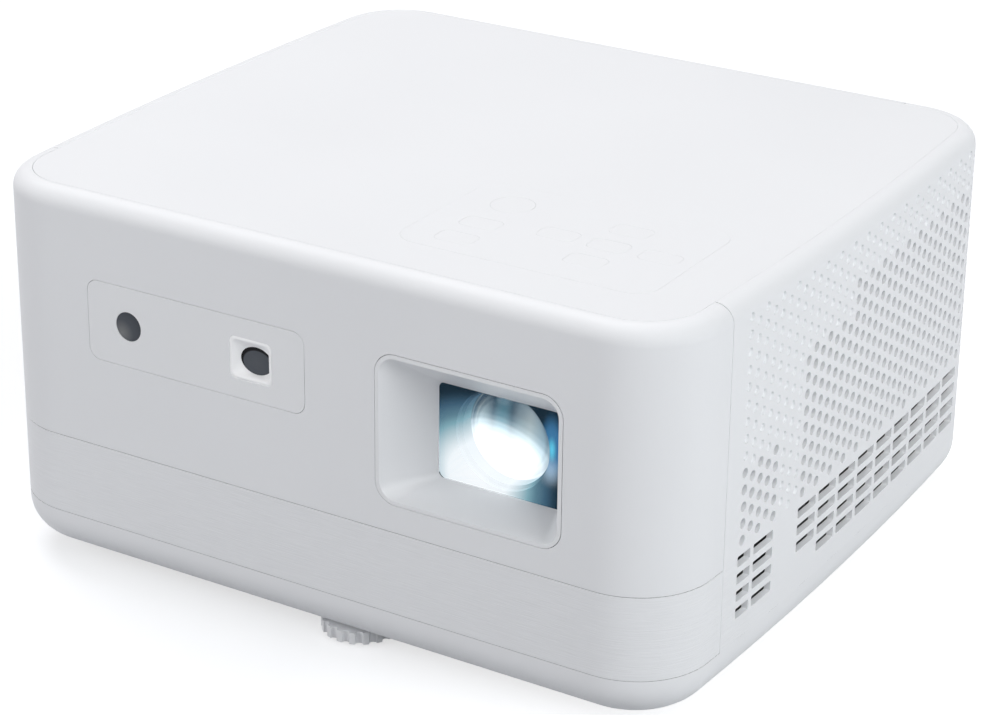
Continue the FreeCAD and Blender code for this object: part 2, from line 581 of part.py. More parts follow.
def light_engine():
    z = UNDER + LENS_Z
    y0 = FRONT + ENGINE_FRONT
    y1 = y0 + ENGINE_FLANGE_T
    flange = block(LENS_X - ENGINE_FLANGE_W / 2, LENS_X + ENGINE_FLANGE_W / 2, y0, y1,
                   z - ENGINE_FLANGE_H / 2, z + ENGINE_FLANGE_H / 2)
    body = plate_top(LENS_X, y1 + ENGINE_D / 2, ENGINE_W, ENGINE_D, ENGINE_R,
                     z - ENGINE_H / 2, z + ENGINE_H / 2)
    return flange.fuse(body).removeSplitter()


def engine_posts():
    """Tall posts of the tray under the light engine and the laser module."""
    z_engine = UNDER + LENS_Z - ENGINE_H / 2
    z_laser = UNDER + LENS_Z - LASER_H / 2
    y = laser_y0()
    posts = []
    for dx in (-ENGINE_W / 2 + ENGINE_R, ENGINE_W / 2 - ENGINE_R - POST):
        for dy in (ENGINE_POST_IN, ENGINE_D - ENGINE_R - POST):
            posts.append(block(LENS_X + dx, LENS_X + dx + POST, y + dy, y + dy + POST, FLOOR, z_engine))
    for x in (LASER_X0 + LASER_POST_IN, LASER_X1 - LASER_POST_IN - POST):
        posts.append(block(x, x + POST, y + LASER_POST_IN, y + LASER_D - LASER_POST_IN, FLOOR, z_laser))
    return posts


def laser_y0():
    return FRONT + ENGINE_FRONT + ENGINE_FLANGE_T


def laser_module():
    z = UNDER + LENS_Z
    y = laser_y0()
    return block(LASER_X0, LASER_X1, y, y + LASER_D, z - LASER_H / 2, z + LASER_H / 2)


def heatsink(x0, x1, y, z0, z1):
    """Base plate with upright fins towards the back."""
    sink = block(x0, x1, y, y + SINK_BASE_T, z0, z1)
    count = int((x1 - x0 - FIN_T) / FIN_PITCH) + 1
    fins = [block(x0 + n * FIN_PITCH, x0 + n * FIN_PITCH + FIN_T, y + SINK_BASE_T,
                  y + SINK_BASE_T + FIN_LENGTH, z0, z1) for n in range(count)]
    return sink.fuse(fins).removeSplitter()


def wheel_axis_z():
    return UNDER + LENS_Z + LASER_H / 2 - WHEEL_MOTOR_R


def wheel_motor():
    y, z = laser_y0() + LASER_D / 2, wheel_axis_z()
    x1 = LASER_X1 + WHEEL_MOTOR_LENGTH
    motor = rod(WHEEL_MOTOR_R, V(LASER_X1, y, z), V(x1, y, z))
    return motor.cut(rod(SHAFT_R + RUN_GAP, V(x1 - WHEEL_BORE, y, z), V(x1 + CUT, y, z)))


def phosphor_wheel():
    y, z = laser_y0() + LASER_D / 2, wheel_axis_z()
    x1 = LASER_X1 + WHEEL_MOTOR_LENGTH
    disc = rod(WHEEL_R, V(x1 + WHEEL_GAP, y, z), V(x1 + WHEEL_GAP + WHEEL_T, y, z))
    shaft = rod(SHAFT_R, V(x1 - WHEEL_BORE + BORE_END, y, z), V(x1 + WHEEL_GAP, y, z))
    return disc.fuse(shaft).removeSplitter()


def keys():
    """Name, plan position and size (None for a round key) of each key."""
    left, cross = KEYPAD_X + KEY_GROUP_DX, KEYPAD_X + PAD_GROUP_DX
    small = (KEY_SMALL_W, KEY_SMALL_D)
    return [
        ("power_key", left, KEYPAD_Y + KEY_PITCH_Y, None),
        ("source_key", left, KEYPAD_Y + SOURCE_DY, small),
        ("menu_key", left, KEYPAD_Y + MENU_DY, small),
        ("ok_key", cross, KEYPAD_Y, small),
        ("up_key", cross, KEYPAD_Y + KEY_PITCH_Y, small),
        ("down_key", cross, KEYPAD_Y - KEY_PITCH_Y, small),
        ("left_key", cross - KEY_PITCH_X, KEYPAD_Y, small),
        ("right_key", cross + KEY_PITCH_X, KEYPAD_Y, small),
    ]


def key_body(x, y, size, grow, z0, z1):
    if size is None:
        return rod(KEY_ROUND_R + grow, V(x, y, z0), V(x, y, z1))
    return plate_top(x, y, size[0] + 2 * grow, size[1] + 2 * grow, KEY_SMALL_R + grow, z0, z1)


def key(x, y, size):
    under = ROOF - TOP_T - KEYPAD_FLANGE_T
    top = key_body(x, y, size, 0, under - KEY_FLANGE_T, ROOF)
    flange = key_body(x, y, size, KEY_FLANGE_W, under - KEY_FLANGE_T, under - RUN_GAP)
    stem_end = under - BOARD_DROP + KEY_TRAVEL + RUN_GAP
    stem = rod(KEY_STEM_R, V(x, y, stem_end), V(x, y, under - KEY_FLANGE_T))
    return top.fuse([flange, stem]).removeSplitter()


def keypad_frame():
    under = ROOF - TOP_T
    gap = 2 * PANEL_GAP
    plate = plate_top(KEYPAD_X, KEYPAD_Y, KEYPAD_W - gap, KEYPAD_D - gap, KEYPAD_R - PANEL_GAP, under, ROOF)
    wide = 2 * KEYPAD_FLANGE_W
    flange = plate_top(KEYPAD_X, KEYPAD_Y, KEYPAD_W + wide, KEYPAD_D + wide, KEYPAD_R,
                       under - KEYPAD_FLANGE_T, under)
    frame = plate.fuse([flange] + board_pillars())
    for name, x, y, size in keys():
        frame = frame.cut(key_body(x, y, size, KEY_GAP, under - KEYPAD_FLANGE_T - CUT, ROOF + CUT))
    return frame.removeSplitter()


def board_pillars():
    """Corner pillars of the keypad frame that hold its board."""
    z1 = ROOF - TOP_T
    z0 = z1 - KEYPAD_FLANGE_T - BOARD_DROP
    half = PILLAR / 2
    dx, dy = KEYPAD_W / 2 - half - CUT, KEYPAD_D / 2 - half - CUT
    return [block(KEYPAD_X + sx * dx - half, KEYPAD_X + sx * dx + half,
                  KEYPAD_Y + sy * dy - half, KEYPAD_Y + sy * dy + half, z0, z1)
            for sx in (-1, 1) for sy in (-1, 1)]


def keypad_board():
    z1 = ROOF - TOP_T - KEYPAD_FLANGE_T - BOARD_DROP
    return block(KEYPAD_X - KEYPAD_W / 2, KEYPAD_X + KEYPAD_W / 2, KEYPAD_Y - KEYPAD_D / 2,
                 KEYPAD_Y + KEYPAD_D / 2, z1 - BOARD_T, z1)


def top_panel():
    panel = plan_solid(TOP_INSET + PANEL_GAP, ROOF - TOP_T, ROOF)
    opening = plate_top(KEYPAD_X, KEYPAD_Y, KEYPAD_W, KEYPAD_D, KEYPAD_R, ROOF - TOP_T - CUT, ROOF + CUT)
    return panel.cut(opening)


def board(x0, x1, y0):
    z = UNDER + DECK
    return block(x0, x1, y0, BACK - WALL - SOCKET_FIT, z, z + BOARD_T)


def flat_socket(x, width, height):
    """Metal shell of a data socket with its tongue, flush with the rear face."""
    z = UNDER + DECK + BOARD_T
    y1 = BACK - FLUSH
    y0 = y1 - SOCKET_D
    shell = block(x - width / 2, x + width / 2, y0, y1, z, z + height)
    hollow = block(x - width / 2 + SHELL_T, x + width / 2 - SHELL_T, y0 + SHELL_BACK_T, y1 + CUT,
                   z + SHELL_T, z + height - SHELL_T)
    middle = z + height / 2
    tongue = block(x - width / 3, x + width / 3, y0, y1 - TONGUE_SET_BACK,
                   middle - TONGUE_T / 2, middle + TONGUE_T / 2)
    return shell.cut(hollow).fuse(tongue).removeSplitter()


def audio_jack():
    z = UNDER + DECK + BOARD_T
    half = AUDIO_BODY / 2
    y1 = BACK - WALL - SOCKET_FIT
    body = block(AUDIO_X - half, AUDIO_X + half, y1 - SOCKET_D, y1, z, z + AUDIO_BODY)
    nose = rod(AUDIO_NOSE_R, V(AUDIO_X, y1, z + half), V(AUDIO_X, BACK - FLUSH, z + half))
    hole = rod(AUDIO_R, V(AUDIO_X, y1 - SOCKET_D + SHELL_BACK_T, z + half), V(AUDIO_X, BACK + CUT, z + half))
    return body.fuse(nose).cut(hole).removeSplitter()


def power_inlet():
    z = inlet_z()
    y1 = BACK - FLUSH
    body = plate_front(INLET_X, z, INLET_W + 2 * INLET_WALL, INLET_H + 2 * INLET_WALL, INLET_R,
                       y1 - INLET_D, y1)
    floor = y1 - INLET_DEPTH
    inlet = body.cut(plate_front(INLET_X, z, INLET_W, INLET_H, WELL_R, floor, y1 + CUT))
    pins = [rod(PIN_R, V(INLET_X + dx, floor - CUT, z), V(INLET_X + dx, floor + PIN_LENGTH, z))
            for dx in (-PIN_PITCH / 2, PIN_PITCH / 2)]
    return inlet.fuse(pins).removeSplitter()


def speaker_box():
    x0, x1 = SPEAKER_X - SPEAKER_W / 2, SPEAKER_X + SPEAKER_W / 2
    y0, y1 = SPEAKER_Y - SPEAKER_D / 2, SPEAKER_Y + SPEAKER_D / 2
    box = block(x0, x1, y0, y1, FLOOR, FLOOR + SPEAKER_H)
    z = FLOOR + SPEAKER_H / 2
    return box.cut(rod(CONE_R, V(x0 - CUT, SPEAKER_Y, z), V(x0 + CONE_WELL, SPEAKER_Y, z)))


def speaker_cone():
    x = SPEAKER_X - SPEAKER_W / 2 + CONE_WELL
    z = FLOOR + SPEAKER_H / 2
    return Part.makeCone(CONE_TIP_R, CONE_R - RUN_GAP, CONE_H, V(x, SPEAKER_Y, z), V(-1, 0, 0))


def foot_knob():
    z0 = FOOT_PAD_T
    top = z0 + FOOT_KNOB_T
    disc = rod(FOOT_R, V(FOOT_X, FOOT_Y, z0), V(FOOT_X, FOOT_Y, top))
    flutes = []
    for n in range(FOOT_SCALLOPS):
        angle = 2 * math.pi * n / FOOT_SCALLOPS
        x, y = FOOT_X + FOOT_R * math.cos(angle), FOOT_Y + FOOT_R * math.sin(angle)
        flutes.append(rod(FOOT_SCALLOP_R, V(x, y, z0 - CUT), V(x, y, top + CUT)))
    stud = rod(STUD_R, V(FOOT_X, FOOT_Y, top), V(FOOT_X, FOOT_Y, UNDER + STUD_H))
    socket = rod(FOOT_SPIGOT_R + RUN_GAP, V(FOOT_X, FOOT_Y, z0 - CUT),
                 V(FOOT_X, FOOT_Y, z0 + FOOT_SPIGOT_H + SPIGOT_END))
    return disc.cut(flutes).fuse(stud).cut(socket).removeSplitter()


def foot_pad():
    z = FOOT_PAD_T - FOOT_PAD_GAP
    pad = rod(FOOT_PAD_R, V(FOOT_X, FOOT_Y, 0), V(FOOT_X, FOOT_Y, z))
    spigot = rod(FOOT_SPIGOT_R, V(FOOT_X, FOOT_Y, z), V(FOOT_X, FOOT_Y, FOOT_PAD_T + FOOT_SPIGOT_H))
    return pad.fuse(spigot).removeSplitter()


def write_housing():
    tray, band, face, right, left, rear = covers(housing_shell())
    export("base_tray", base_tray(tray))
    export("front_band", band)
    export("front_cover", face.cut(sensor_panel_cut() + [lens_opening()]))
    export("right_grille", right.cut(Part.makeCompound(grille_holes(RIGHT_HOLES, 1) + grille_slots(1))))
    export("left_grille", left.cut(Part.makeCompound(grille_holes(LEFT_HOLES, -1) + grille_slots(-1))))
    export("rear_cover", rear.cut(socket_holes()))
    export("top_panel", top_panel())
    export("ceiling_inserts", *inserts())
    export("case_screws", *case_screws())


def write_front():
    export("sensor_panel", sensor_panel())
    ir_y = FRONT + IR_SET_BACK
    export("ir_window", rod(IR_R - PUSH_FIT, V(IR_X, ir_y, UNDER + IR_Z), V(IR_X, ir_y + IR_T, UNDER + IR_Z)))
    eye_y = FRONT + EYE_DEPTH
    export("distance_sensor_lens", rod(EYE_LENS_R, V(EYE_X, eye_y, UNDER + EYE_Z),
                                       V(EYE_X, eye_y + EYE_LENS_T, UNDER + EYE_Z)))
    board_y = eye_y + EYE_LENS_T
    half_w, half_h = SENSOR_BOARD_W / 2, SENSOR_BOARD_H / 2
    export("sensor_board", block(SENSOR_X - half_w, SENSOR_X + half_w, board_y, board_y + BOARD_T,
                                 UNDER + SENSOR_Z - half_h, UNDER + SENSOR_Z + half_h))
    receiver_y = ir_y + IR_T
    export("ir_receiver", block(IR_X - IR_BODY_W / 2, IR_X + IR_BODY_W / 2, receiver_y, board_y,
                                UNDER + IR_Z - IR_BODY_H / 2, UNDER + IR_Z + IR_BODY_H / 2))
    export("lens_surround", lens_surround())
    export("window_glass", window_glass())
    export("lens_mask", lens_mask())


def write_optics():
    export("focus_cell", focus_cell())
    front_start = LENS_START + LENS_SET_BACK
    export("front_lens", glass_element(FRONT_LENS_R - PUSH_FIT, front_start, LENS_EDGE, FRONT_CROWN))
    rear_start = LENS_START + CELL_LENGTH + FOCUS_TRAVEL + STOP_GAP
    export("rear_lens", glass_element(CELL_R - PUSH_FIT, rear_start, LENS_EDGE, REAR_CROWN))
    export("lens_barrel", lens_barrel())
    flange = ENGINE_FRONT
    motor_front = flange - MOTOR_LENGTH
    motor = rod(MOTOR_R, lens_point(motor_front, GUIDE_OFFSET), lens_point(flange, GUIDE_OFFSET))
    nose = LENS_START - ROD_NOSE
    bearing = rod(GUIDE_R + RUN_GAP, lens_point(motor_front - CUT, GUIDE_OFFSET),
                  lens_point(motor_front + MOTOR_BORE, GUIDE_OFFSET))
    export("focus_motor", motor.cut(bearing))
    export("focus_screw", rod(GUIDE_R, lens_point(nose, GUIDE_OFFSET),
                              lens_point(motor_front + MOTOR_BORE - BORE_END, GUIDE_OFFSET)))
    export("guide_rod", rod(GUIDE_R, lens_point(nose, -GUIDE_OFFSET), lens_point(flange, -GUIDE_OFFSET)))
    export("light_engine", light_engine())
    chip_y = laser_y0() + ENGINE_D
    chip_z = UNDER + LENS_Z
    x0, x1 = LENS_X - CHIP_BOARD_W / 2, LENS_X + CHIP_BOARD_W / 2
    z0, z1 = chip_z - CHIP_BOARD_H / 2, chip_z + CHIP_BOARD_H / 2
    export("image_chip_board", block(x0, x1, chip_y, chip_y + BOARD_T, z0, z1))
    export("image_chip_heatsink", heatsink(x0, x1, chip_y + BOARD_T, z0, z1))
    export("laser_module", laser_module())
    export("laser_heatsink", heatsink(LASER_X0, LASER_X1, laser_y0() + LASER_D, z0, z1))
    export("wheel_motor", wheel_motor())
    export("phosphor_wheel", phosphor_wheel())


def write_keypad():
    export("keypad_frame", keypad_frame())
    export("keypad_board", keypad_board())
    for name, x, y, size in keys():
        export(name, key(x, y, size))


def write_cooling_and_power():
    export("right_fan_frame", fan_frame(1))
    export("right_fan_rotor", fan_rotor(1))
    export("left_fan_frame", fan_frame(-1))
    export("left_fan_rotor", fan_rotor(-1))
    export("main_board", board(MAIN_X0, MAIN_X1, MAIN_Y0))
    export("power_board", board(POWER_X0, POWER_X1, POWER_Y0))
    deck = UNDER + DECK + BOARD_T
    middle = (POWER_X0 + POWER_X1) / 2
    half = TRANSFORMER_W / 2
    export("transformer", block(middle - half, middle + half, TRANSFORMER_Y, TRANSFORMER_Y + TRANSFORMER_D,
                                deck, deck + TRANSFORMER_H))
    export("speaker_box", speaker_box())
    export("speaker_cone", speaker_cone())


def write_sockets():
    for name, x in zip(("hdmi_socket_1", "hdmi_socket_2"), HDMI_X):
        export(name, flat_socket(x, HDMI_W, HDMI_H))
    export("usb_socket", flat_socket(USB_X, USB_W, USB_H))
    export("audio_jack", audio_jack())
    export("power_inlet", power_inlet())


def write_feet():
    export("foot_knob", foot_knob())
    export("foot_pad", foot_pad())
    feet = [rod(REAR_FOOT_R, V(x, REAR_FOOT_Y, 0), V(x, REAR_FOOT_Y, UNDER))
            for x in (-REAR_FOOT_X, REAR_FOOT_X)]
    export("rear_feet", *feet)


write_housing()
write_front()
write_optics()
write_keypad()
write_cooling_and_power()
write_sockets()
write_feet()
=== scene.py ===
import json
import math
import bpy
import bmesh
from mathutils import Matrix, Vector


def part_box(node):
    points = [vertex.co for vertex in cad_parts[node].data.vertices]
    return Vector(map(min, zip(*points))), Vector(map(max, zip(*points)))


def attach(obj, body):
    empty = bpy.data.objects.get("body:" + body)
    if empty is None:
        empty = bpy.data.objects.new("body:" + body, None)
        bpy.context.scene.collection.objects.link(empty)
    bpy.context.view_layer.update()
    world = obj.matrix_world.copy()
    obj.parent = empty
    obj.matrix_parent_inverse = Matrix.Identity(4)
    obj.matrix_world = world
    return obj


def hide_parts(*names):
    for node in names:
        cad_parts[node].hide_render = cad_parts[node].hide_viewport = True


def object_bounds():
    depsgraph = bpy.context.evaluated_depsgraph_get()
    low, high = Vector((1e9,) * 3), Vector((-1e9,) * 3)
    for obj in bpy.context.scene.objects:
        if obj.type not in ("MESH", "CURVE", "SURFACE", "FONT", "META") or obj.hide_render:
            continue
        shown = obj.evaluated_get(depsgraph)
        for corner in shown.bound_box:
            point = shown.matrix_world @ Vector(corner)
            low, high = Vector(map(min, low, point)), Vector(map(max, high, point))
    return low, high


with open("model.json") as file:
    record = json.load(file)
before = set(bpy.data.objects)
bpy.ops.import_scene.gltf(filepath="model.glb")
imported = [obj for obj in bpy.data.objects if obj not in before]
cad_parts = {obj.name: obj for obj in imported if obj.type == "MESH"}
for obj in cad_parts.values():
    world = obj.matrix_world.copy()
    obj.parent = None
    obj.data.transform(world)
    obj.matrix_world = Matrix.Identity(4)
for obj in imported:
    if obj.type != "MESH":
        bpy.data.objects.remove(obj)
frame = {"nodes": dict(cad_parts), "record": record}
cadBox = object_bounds()
nodes = frame["nodes"]
print("frame loaded:", len(nodes), "nodes")

# camera

cameraView = {
    "azimuth": 30.787, "elevation": 22.227, "roll": 0.747,  # degrees
    "place": (0.390015, -0.648208, 0.381561),
    "lens": 104.45, "sensorWidth": 36.0, "shift": (-0.0257, -0.0802),
}


def makeCamera(view):
    az, el, roll = (math.radians(view[key]) for key in ("azimuth", "elevation", "roll"))
    across = Vector((math.cos(az), math.sin(az), 0))
    upright = Vector((-math.sin(az) * math.sin(el), math.cos(az) * math.sin(el), math.cos(el)))
    back = Vector((math.sin(az) * math.cos(el), -math.cos(az) * math.cos(el), math.sin(el)))
    right = across * math.cos(roll) + upright * math.sin(roll)
    up = upright * math.cos(roll) - across * math.sin(roll)
    camera = bpy.data.cameras.new("camera")
    camera.lens, camera.sensor_width = view["lens"], view["sensorWidth"]
    camera.shift_x, camera.shift_y = view["shift"]
    holder = bpy.data.objects.new("camera", camera)
    bpy.context.scene.collection.objects.link(holder)
    turn = Matrix((right, up, back)).transposed().to_4x4()
    holder.matrix_world = Matrix.Translation(view["place"]) @ turn
    bpy.context.scene.camera = holder


makeCamera(cameraView)

# shader groups, each used by several materials


def newGroup(name, inputs, outputs):
    group = bpy.data.node_groups.new(name, "ShaderNodeTree")
    for label, kind, value in inputs:
        socket = group.interface.new_socket(label, in_out="INPUT", socket_type=kind)
        socket.default_value = value
    for label, kind in outputs:
        group.interface.new_socket(label, in_out="OUTPUT", socket_type=kind)
    return group, group.nodes.new("NodeGroupInput"), group.nodes.new("NodeGroupOutput")


def addNode(tree, kind, settings=(), values=()):
    node = tree.nodes.new(kind)
    for key, value in dict(settings).items():
        setattr(node, key, value)
    for key, value in dict(values).items():
        node.inputs[key].default_value = value
    return node


def moulding():  # fine moulded skin, with a slow change of tone from gate to rim
    group, given, made = newGroup(
        "mouldedSkin",
        [("Grain scale", "NodeSocketFloat", 3000.0), ("Patch scale", "NodeSocketFloat", 14.0)],
        [("Grain", "NodeSocketFloat"), ("Patch", "NodeSocketFloat")],
    )
    place = addNode(group, "ShaderNodeTexCoord")
    grain = addNode(group, "ShaderNodeTexNoise", values={"Detail": 2.0, "Roughness": 0.6})
    patch = addNode(group, "ShaderNodeTexNoise", values={"Detail": 1.0})
    for texture, label, out in ((grain, "Grain scale", "Grain"), (patch, "Patch scale", "Patch")):
        group.links.new(place.outputs["Object"], texture.inputs["Vector"])
        group.links.new(given.outputs[label], texture.inputs["Scale"])
        group.links.new(texture.outputs["Fac"], made.inputs[out])
    return group


def drawing():  # long fine lines, level round a cover or along a turned part
    group, given, made = newGroup(
        "drawnLines",
        [("Stretch", "NodeSocketVector", (20.0, 20.0, 1200.0)), ("Contrast", "NodeSocketFloat", 0.5)],
        [("Lines", "NodeSocketFloat")],
    )
    place = addNode(group, "ShaderNodeTexCoord")
    stretch = addNode(group, "ShaderNodeVectorMath", {"operation": "MULTIPLY"})
    lines = addNode(group, "ShaderNodeTexNoise", values={"Scale": 1.0, "Detail": 3.0, "Roughness": 0.65})
    half = addNode(group, "ShaderNodeMath", {"operation": "SUBTRACT"}, {1: 0.5})
    scaled = addNode(group, "ShaderNodeMath", {"operation": "MULTIPLY"})
    centred = addNode(group, "ShaderNodeMath", {"operation": "ADD", "use_clamp": True}, {1: 0.5})
    group.links.new(place.outputs["Object"], stretch.inputs[0])
    group.links.new(given.outputs["Stretch"], stretch.inputs[1])
    group.links.new(stretch.outputs["Vector"], lines.inputs["Vector"])
    group.links.new(lines.outputs["Fac"], half.inputs[0])
    group.links.new(half.outputs[0], scaled.inputs[0])
    group.links.new(given.outputs["Contrast"], scaled.inputs[1])
    group.links.new(scaled.outputs[0], centred.inputs[0])
    group.links.new(centred.outputs[0], made.inputs["Lines"])
    return group


skinGroup = moulding()
linesGroup = drawing()
print("shader groups made")

# materials


def newMaterial(name):
    material = bpy.data.materials.new(name)
    material.use_nodes = True
    tree = material.node_tree
    return material, tree, tree.nodes["Principled BSDF"]


def useGroup(tree, group, values=()):
    return addNode(tree, "ShaderNodeGroup", {"node_tree": group}, values)


def mixColours(tree, factor, first, second, target):
    mix = addNode(tree, "ShaderNodeMix", {"data_type": "RGBA"})
    mix.inputs["A"].default_value = (*first, 1.0)
    mix.inputs["B"].default_value = (*second, 1.0)
    tree.links.new(factor, mix.inputs["Factor"])
    tree.links.new(mix.outputs["Result"], target)


def spread(tree, value, low, high, target):
    remap = addNode(tree, "ShaderNodeMapRange", values={"To Min": low, "To Max": high})
    tree.links.new(value, remap.inputs["Value"])
    tree.links.new(remap.outputs["Result"], target)


def bump(tree, shader, height, depth, strength):
    node = addNode(tree, "ShaderNodeBump", values={"Distance": depth, "Strength": strength})
    tree.links.new(height, node.inputs["Height"])
    tree.links.new(node.outputs["Normal"], shader.inputs["Normal"])


def plastic(name, look):
    material, tree, shader = newMaterial(name)
    skin = useGroup(tree, skinGroup, {"Grain scale": look["grain"]})
    mixColours(tree, skin.outputs["Patch"], look["colour"], look["shade"], shader.inputs["Base Color"])
    spread(tree, skin.outputs["Patch"], *look["rough"], shader.inputs["Roughness"])
    bump(tree, shader, skin.outputs["Grain"], look["depth"], strength=0.5)
    shader.inputs["Specular IOR Level"].default_value = look.get("gloss", 0.5)
    shader.inputs["Coat Weight"].default_value = look.get("coat", 0.0)
    shader.inputs["Coat Roughness"].default_value = look.get("coatRough", 0.1)
    return material


def wallPlastic(name, look):  # walls of the holes, with painted bounce light glowing where they meet the skin
    material = plastic(name, look)
    tree = material.node_tree
    shader = tree.nodes["Principled BSDF"]
    # painted bounce light: emission on the walls near the skin
    nearSkin = addNode(tree, "ShaderNodeAttribute", {"attribute_name": "nearSkin"})
    mixColours(tree, nearSkin.outputs["Fac"], (0.0, 0.0, 0.0), look["paintedBounce"],
               shader.inputs["Emission Color"])
    shader.inputs["Emission Strength"].default_value = 1.0
    return material


def linedPlastic(name, look):  # the case skin with fine level lines low on the front
    material, tree, shader = newMaterial(name)
    skin = useGroup(tree, skinGroup, {"Grain scale": look["grain"]})
    lines = useGroup(tree, linesGroup, {"Stretch": look["stretch"], "Contrast": look["contrast"]})
    place = addNode(tree, "ShaderNodeTexCoord")
    axes = addNode(tree, "ShaderNodeSeparateXYZ")
    tree.links.new(place.outputs["Object"], axes.inputs[0])
    fades = []
    for axis, (start, end) in (("Y", look["fadeY"]), ("Z", look["fadeZ"])):
        fade = addNode(tree, "ShaderNodeMapRange", values={"From Min": start, "From Max": end})
        tree.links.new(axes.outputs[axis], fade.inputs["Value"])
        fades.append(fade)
    mask = addNode(tree, "ShaderNodeMath", {"operation": "MULTIPLY"})
    for n in range(2):
        tree.links.new(fades[n].outputs["Result"], mask.inputs[n])
    masked = addNode(tree, "ShaderNodeMix", {"data_type": "FLOAT"}, {"A": 0.5})
    tree.links.new(mask.outputs[0], masked.inputs["Factor"])
    tree.links.new(lines.outputs["Lines"], masked.inputs["B"])
    mixColours(tree, masked.outputs["Result"], look["shade"], look["colour"], shader.inputs["Base Color"])
    spread(tree, skin.outputs["Patch"], *look["rough"], shader.inputs["Roughness"])
    bump(tree, shader, masked.outputs["Result"], look["lineDepth"], strength=1.0)
    shader.inputs["Specular IOR Level"].default_value = look["gloss"]
    return material


def metal(name, look):
    material, tree, shader = newMaterial(name)
    lines = useGroup(tree, linesGroup, {"Stretch": look["stretch"], "Contrast": 1.2})
    mixColours(tree, lines.outputs["Lines"], look["colour"], look["shade"], shader.inputs["Base Color"])
    spread(tree, lines.outputs["Lines"], *look["rough"], shader.inputs["Roughness"])
    bump(tree, shader, lines.outputs["Lines"], look["depth"], strength=0.4)
    shader.inputs["Metallic"].default_value = 1.0
    return material


def circuitBoard(name, look):  # solder resist over copper tracks
    material, tree, shader = newMaterial(name)
    place = addNode(tree, "ShaderNodeTexCoord")
    tracks = addNode(tree, "ShaderNodeTexVoronoi", {"distance": "CHEBYCHEV", "feature": "DISTANCE_TO_EDGE"},
                     {"Scale": look["trackScale"], "Randomness": look["trackSpread"]})
    edge = look["trackEdge"]
    step = addNode(tree, "ShaderNodeMapRange", values={"From Min": edge[0], "From Max": edge[1]})
    tree.links.new(place.outputs["Object"], tracks.inputs["Vector"])
    tree.links.new(tracks.outputs["Distance"], step.inputs["Value"])
    mixColours(tree, step.outputs["Result"], look["track"], look["colour"], shader.inputs["Base Color"])
    bump(tree, shader, step.outputs["Result"], -look["depth"], strength=0.5)
    shader.inputs["Roughness"].default_value = look["rough"]
    shader.inputs["Coat Weight"].default_value = look["coat"]
    return material


def coatedGlass(name, look):
    material, tree, shader = newMaterial(name)
    skin = useGroup(tree, skinGroup, {"Patch scale": look["patch"]})
    spread(tree, skin.outputs["Patch"], *look["rough"], shader.inputs["Roughness"])
    shader.inputs["Base Color"].default_value = (*look["colour"], 1.0)
    shader.inputs["Transmission Weight"].default_value = 1.0
    shader.inputs["IOR"].default_value = look["ior"]
    shader.inputs["Coat Weight"].default_value = look["coat"]
    shader.inputs["Coat Tint"].default_value = (*look["coatTint"], 1.0)
    return material


def rampedSpot(tree, spot, how="LINEAR"):  # colour by the distance from a point of the front
    place = addNode(tree, "ShaderNodeTexCoord")
    (x, z), (radiusX, radiusZ) = spot["centre"], spot["radii"]
    perRadius = (1 / radiusX, 0.0, 1 / radiusZ)
    shift = addNode(tree, "ShaderNodeVectorMath", {"operation": "SUBTRACT"}, {1: (x, 0.0, z)})
    scale = addNode(tree, "ShaderNodeVectorMath", {"operation": "MULTIPLY"}, {1: perRadius})
    away = addNode(tree, "ShaderNodeVectorMath", {"operation": "LENGTH"})
    ramp = addNode(tree, "ShaderNodeValToRGB")
    tree.links.new(place.outputs["Object"], shift.inputs[0])
    tree.links.new(shift.outputs["Vector"], scale.inputs[0])
    tree.links.new(scale.outputs["Vector"], away.inputs[0])
    tree.links.new(away.outputs["Value"], ramp.inputs["Fac"])
    ramp.color_ramp.interpolation = how
    setStops(ramp.color_ramp, spot["stops"])
    return ramp.outputs["Color"]


def blended(tree, first, second, how):
    mix = addNode(tree, "ShaderNodeMix", {"data_type": "RGBA", "blend_type": how, "clamp_result": False},
                  {"Factor": 1.0})
    tree.links.new(first, mix.inputs["A"])
    tree.links.new(second, mix.inputs["B"])
    return mix.outputs["Result"]


def litGlass(name, look):  # dark glass whose look is painted light given as emission: painted glows and painted reflections of its coats
    material, tree, shader = newMaterial(name)
    colour = rampedSpot(tree, look["paintedGlowAndReflection"][0])
    for spot in look["paintedGlowAndReflection"][1:]:
        colour = blended(tree, colour, rampedSpot(tree, spot), "MULTIPLY")
    for spot in look["glows"]:
        colour = blended(tree, colour, rampedSpot(tree, spot, "EASE"), "ADD")
    tree.links.new(colour, shader.inputs["Emission Color"])
    shader.inputs["Emission Strength"].default_value = look["strength"]
    shader.inputs["Base Color"].default_value = (*look["colour"], 1.0)
    shader.inputs["Roughness"].default_value = look["rough"]
    shader.inputs["IOR"].default_value = look["ior"]
    return material


def smokedWindow(name, look):  # near-black plastic whose colour carries painted light and shade, ramped from a point of the front
    material, tree, shader = newMaterial(name)
    tree.links.new(rampedSpot(tree, look["paintedShading"]), shader.inputs["Base Color"])
    shader.inputs["Roughness"].default_value = look["rough"]
    shader.inputs["IOR"].default_value = look["ior"]
    return material


def setStops(ramp, stops):
    while len(ramp.elements) > 1:
        ramp.elements.remove(ramp.elements[-1])
    for n, (place, colour) in enumerate(stops):
        element = ramp.elements[0] if n == 0 else ramp.elements.new(place)
        element.position = place
        element.color = (*colour, 1.0)


